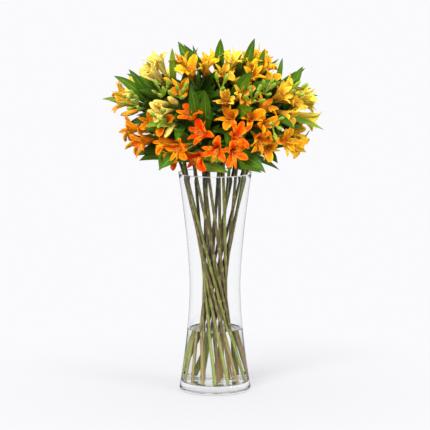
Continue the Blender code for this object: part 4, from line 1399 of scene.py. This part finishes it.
class WaterSettings(bpy.types.PropertyGroup):
    """Sizes and colour of the water."""

    tint: colour_property("Tint", "Colour of the water", (0.97, 0.985, 0.96))
    glare: share_property("Glare", "How strongly it mirrors", 0.4)
    climb: length_property("Climb", "How far it climbs the glass", 0.0014)
    sink: length_property("Sink", "How far it is sunk into the glass", 0.0002)


class FlowerSettings(bpy.types.PropertyGroup):
    """Sizes and colours of the flowers."""

    thickness: length_property("Thickness", "Thickness of a tepal", 0.0007)
    wave: share_property("Wave", "Waves of a tepal's edge", 0.19)
    fold: share_property("Fold", "Fold along a tepal's middle", 0.34)
    blaze: colour_property("Blaze", "Yellow patch on the inner tepals", (0.92, 0.52, 0.03))
    dash: colour_property("Dashes", "Dark dashes on two inner tepals", (0.16, 0.012, 0.004))
    green: colour_property("Green", "Green at the base and tips outside", (0.30, 0.40, 0.04))
    filament: colour_property("Filament", "Colour of the filaments", (0.86, 0.28, 0.03))
    anther: colour_property("Anther", "Colour of the anthers", (0.22, 0.11, 0.02))
    scarlet: tint_property("Scarlet", "Petals of the reddest heads")
    vermilion: tint_property("Vermilion", "Petals of a red-orange head")
    orange: tint_property("Orange", "Petals of the orange heads")
    amber: tint_property("Amber", "Petals of the amber heads")
    apricot: tint_property("Apricot", "Petals of the apricot heads")
    yellow: tint_property("Yellow", "Petals of the yellow heads")
    cream: tint_property("Cream", "Petals of the palest heads")


class GreenSettings(bpy.types.PropertyGroup):
    """Sizes and colours of the leaves, stems and stalks."""

    thickness: length_property("Thickness", "Thickness of a leaf", 0.0006)
    wave: share_property("Wave", "Waves of a leaf's edge", 0.07)
    inner: IntProperty(name="Inner leaves", description="More leaves under each head", default=14, min=0)
    node_spacing: length_property("Scar spacing", "Way between leaf scars", 0.052)
    dark: colour_property("Dark leaf", "Colour of the darkest leaves", (0.024, 0.088, 0.002))
    light: colour_property("Light leaf", "Colour of the lighter leaves", (0.086, 0.205, 0.004))
    young: colour_property("Young leaf", "Colour of a few young leaves", (0.250, 0.380, 0.030))
    vein: colour_property("Vein", "Colour of the veins", (0.30, 0.50, 0.04))
    olive: colour_property("Olive", "Colour of the olive stems", (0.235, 0.225, 0.034))
    brown: colour_property("Brown", "Colour of the brown stems", (0.150, 0.090, 0.032))
    bright: colour_property("Bright", "Colour of the brightest stems", (0.29, 0.41, 0.032))
    soaked: colour_property("Soaked", "Palest brown of a stem's foot in the water", (0.46, 0.30, 0.12))
    # Pale streaks along the stems: a painted highlight
    sheen: colour_property("Sheen", "Pale streaks along the stems", (0.44, 0.44, 0.27))
    stalk: colour_property("Stalk", "Colour of the flowers' stalks", (0.20, 0.34, 0.022))
    flush: colour_property("Flush", "Colour of a stalk near its flower", (0.55, 0.16, 0.03))


class StageSettings(bpy.types.PropertyGroup):
    """Floor, light and camera."""

    floor: colour_property("Floor", "Colour of the floor", (0.565, 0.556, 0.577))
    white: strength_property("White", "Brightness of the far background", 0.955)
    bounce: strength_property("Bounce", "Light that the floor throws back", 0.42)
    room: strength_property("Room", "Brightness of the room in reflections", 0.34)
    edge: strength_property("Edge", "Brightness of the ceiling seen bent in glass", 0.15)
    sky: strength_property("Sky", "Strength of the light from all round", 0.62)
    sun: strength_property("Sun", "Strength of the soft main light", 4.2)
    fill: strength_property("Fill", "Strength of the light from the right", 2.5)
    sun_width: FloatProperty(
        name="Sun width", description="Width of both lights", default=math.radians(28), subtype="ANGLE"
    )
    distance: length_property("Distance", "From the camera to the vase", 4.2)
    eye: length_property("Eye height", "Height of the camera", 0.93)
    target: length_property("Target height", "Height that it looks at", 0.3218)
    lens: FloatProperty(name="Lens", description="Focal length in millimetres", default=195.7, min=20)


# Operators


class BOUQUET_OT_vase(bpy.types.Operator):
    """Turns the glass vase from its profile"""

    bl_idname = "bouquet.vase"
    bl_label = "Vase"

    def execute(self, context):
        settings = context.scene.bouquet_vase
        glass = lathe(vase_rows(settings.hollow), settings.facets)
        add_piece("vase_glass", [glass], [glass_finish(settings)], "vase")
        return {"FINISHED"}


class BOUQUET_OT_water(bpy.types.Operator):
    """Turns the water from its profile"""

    bl_idname = "bouquet.water"
    bl_label = "Water"

    def execute(self, context):
        settings = context.scene.bouquet_water
        water = lathe(water_rows(settings.climb, settings.sink), 96)
        add_piece("water_body", [water], [water_finish(settings)], "water")
        return {"FINISHED"}


class BOUQUET_OT_stems(bpy.types.Operator):
    """Grows each stem with its leaves"""

    bl_idname = "bouquet.stems"
    bl_label = "Stems and leaves"

    def execute(self, context):
        settings = context.scene.bouquet_green
        finishes = [stem_finish(settings), leaf_finish(settings)]
        leaves = built_leaves()
        for number, head in enumerate(HEADS):
            draw = np.random.default_rng(100 + number)
            skins = [stem_skin(head, settings, draw)]
            shown = [turned_to_front(leaf, 0.8 if leaf.tip.y < 0.03 else 0.0) for leaf in leaves[head.name]]
            shown += front_leaves(head)
            inner = inner_leaves(head, settings.inner)
            skins.append(leaf_skin(shown, LEAF_ROWS, LEAF_RING, settings, draw))
            skins.append(leaf_skin(inner, INNER_LEAF_ROWS, INNER_LEAF_RING, settings, draw))
            add_piece(f"leafy_stem_{head.name}", skins, finishes, f"stem_{head.name}")
        return {"FINISHED"}


class BOUQUET_OT_petals(bpy.types.Operator):
    """Opens each head's flowers and closes its buds"""

    bl_idname = "bouquet.petals"
    bl_label = "Petals"

    def execute(self, context):
        settings = context.scene.bouquet_flowers
        finishes = {
            tint: petal_finish(f"petal_{tint}", getattr(settings, tint), settings)
            for tint in sorted({head.tint for head in HEADS})
        }
        for number, head in enumerate(HEADS):
            draw = np.random.default_rng(200 + number)
            florets = built_florets(head), floret_shades(head)
            skins = [petal_skin(*of_kind("open", *florets), settings, draw)]
            buds, shades = of_kind("bud", *florets)
            if buds:
                skins.append(bud_skin(buds, shades, BUD_LENGTH, BUD_RADIUS, 0.0))
            finish = finishes[head.tint]
            add_piece(f"petals_{head.name}", skins, [finish], f"flowers_{head.name}")
        return {"FINISHED"}


class BOUQUET_OT_stalks(bpy.types.Operator):
    """Draws each head's stalks, seed cases and young buds"""

    bl_idname = "bouquet.stalks"
    bl_label = "Stalks"

    def execute(self, context):
        finish = stalk_finish(context.scene.bouquet_green)
        for head in HEADS:
            poses = built_florets(head) + spray_florets(head)
            shades = np.resize(floret_shades(head), len(poses))
            skins = [stalk_skin(poses, shades), hub_skin(head)]
            young, shades = of_kind("young", poses, shades)
            if young:
                skins.append(bud_skin(young, shades, YOUNG_LENGTH, YOUNG_RADIUS, 1.0))
            add_piece(f"stalks_{head.name}", skins, [finish])
        return {"FINISHED"}


class BOUQUET_OT_stamens(bpy.types.Operator):
    """Puts the stamens into the open flowers"""

    bl_idname = "bouquet.stamens"
    bl_label = "Stamens"

    def execute(self, context):
        finish = stamen_finish(context.scene.bouquet_flowers)
        for number, head in enumerate(HEADS):
            draw = np.random.default_rng(300 + number)
            skins = stamen_skins(*of_kind("open", built_florets(head), floret_shades(head)), draw)
            add_piece(f"stamens_{head.name}", skins, [finish])
        return {"FINISHED"}


class BOUQUET_OT_stage(bpy.types.Operator):
    """Lays the floor and sets the light and the camera"""

    bl_idname = "bouquet.stage"
    bl_label = "Floor, light and camera"

    def execute(self, context):
        settings = context.scene.bouquet_stage
        scene = context.scene
        add_floor(settings)
        add_sky(scene, settings)
        add_suns(settings)
        add_camera(scene, settings)
        scene.view_settings.view_transform = "Standard"
        scene.cycles.caustics_reflective = False
        scene.cycles.caustics_refractive = False
        return {"FINISHED"}


class BOUQUET_PT_panel(bpy.types.Panel):
    """Lists the bouquet's sizes, colours and steps"""

    bl_label = "Alstroemeria in vase"
    bl_space_type = "VIEW_3D"
    bl_region_type = "UI"
    bl_category = "Bouquet"

    def draw(self, context):
        for name, group in GROUPS.items():
            box = self.layout.box()
            for key in group.__annotations__:
                box.prop(getattr(context.scene, name), key)
        for step in STEPS:
            self.layout.operator(step.bl_idname)


GROUPS = {
    "bouquet_vase": VaseSettings,
    "bouquet_water": WaterSettings,
    "bouquet_green": GreenSettings,
    "bouquet_flowers": FlowerSettings,
    "bouquet_stage": StageSettings,
}
STEPS = (
    BOUQUET_OT_stage,
    BOUQUET_OT_vase,
    BOUQUET_OT_water,
    BOUQUET_OT_stems,
    BOUQUET_OT_petals,
    BOUQUET_OT_stalks,
    BOUQUET_OT_stamens,
)


def register():
    for made in (*GROUPS.values(), *STEPS, BOUQUET_PT_panel):
        bpy.utils.register_class(made)
    for name, group in GROUPS.items():
        setattr(bpy.types.Scene, name, PointerProperty(type=group))


def unregister():
    for name in GROUPS:
        delattr(bpy.types.Scene, name)
    for made in reversed((*GROUPS.values(), *STEPS, BOUQUET_PT_panel)):
        bpy.utils.unregister_class(made)


def main():
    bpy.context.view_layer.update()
    register()
    bpy.ops.bouquet.stage()
    bpy.ops.bouquet.vase()
    bpy.ops.bouquet.water()
    bpy.ops.bouquet.stems()
    bpy.ops.bouquet.petals()
    bpy.ops.bouquet.stalks()
    bpy.ops.bouquet.stamens()


if __name__ == "__main__":
    main()
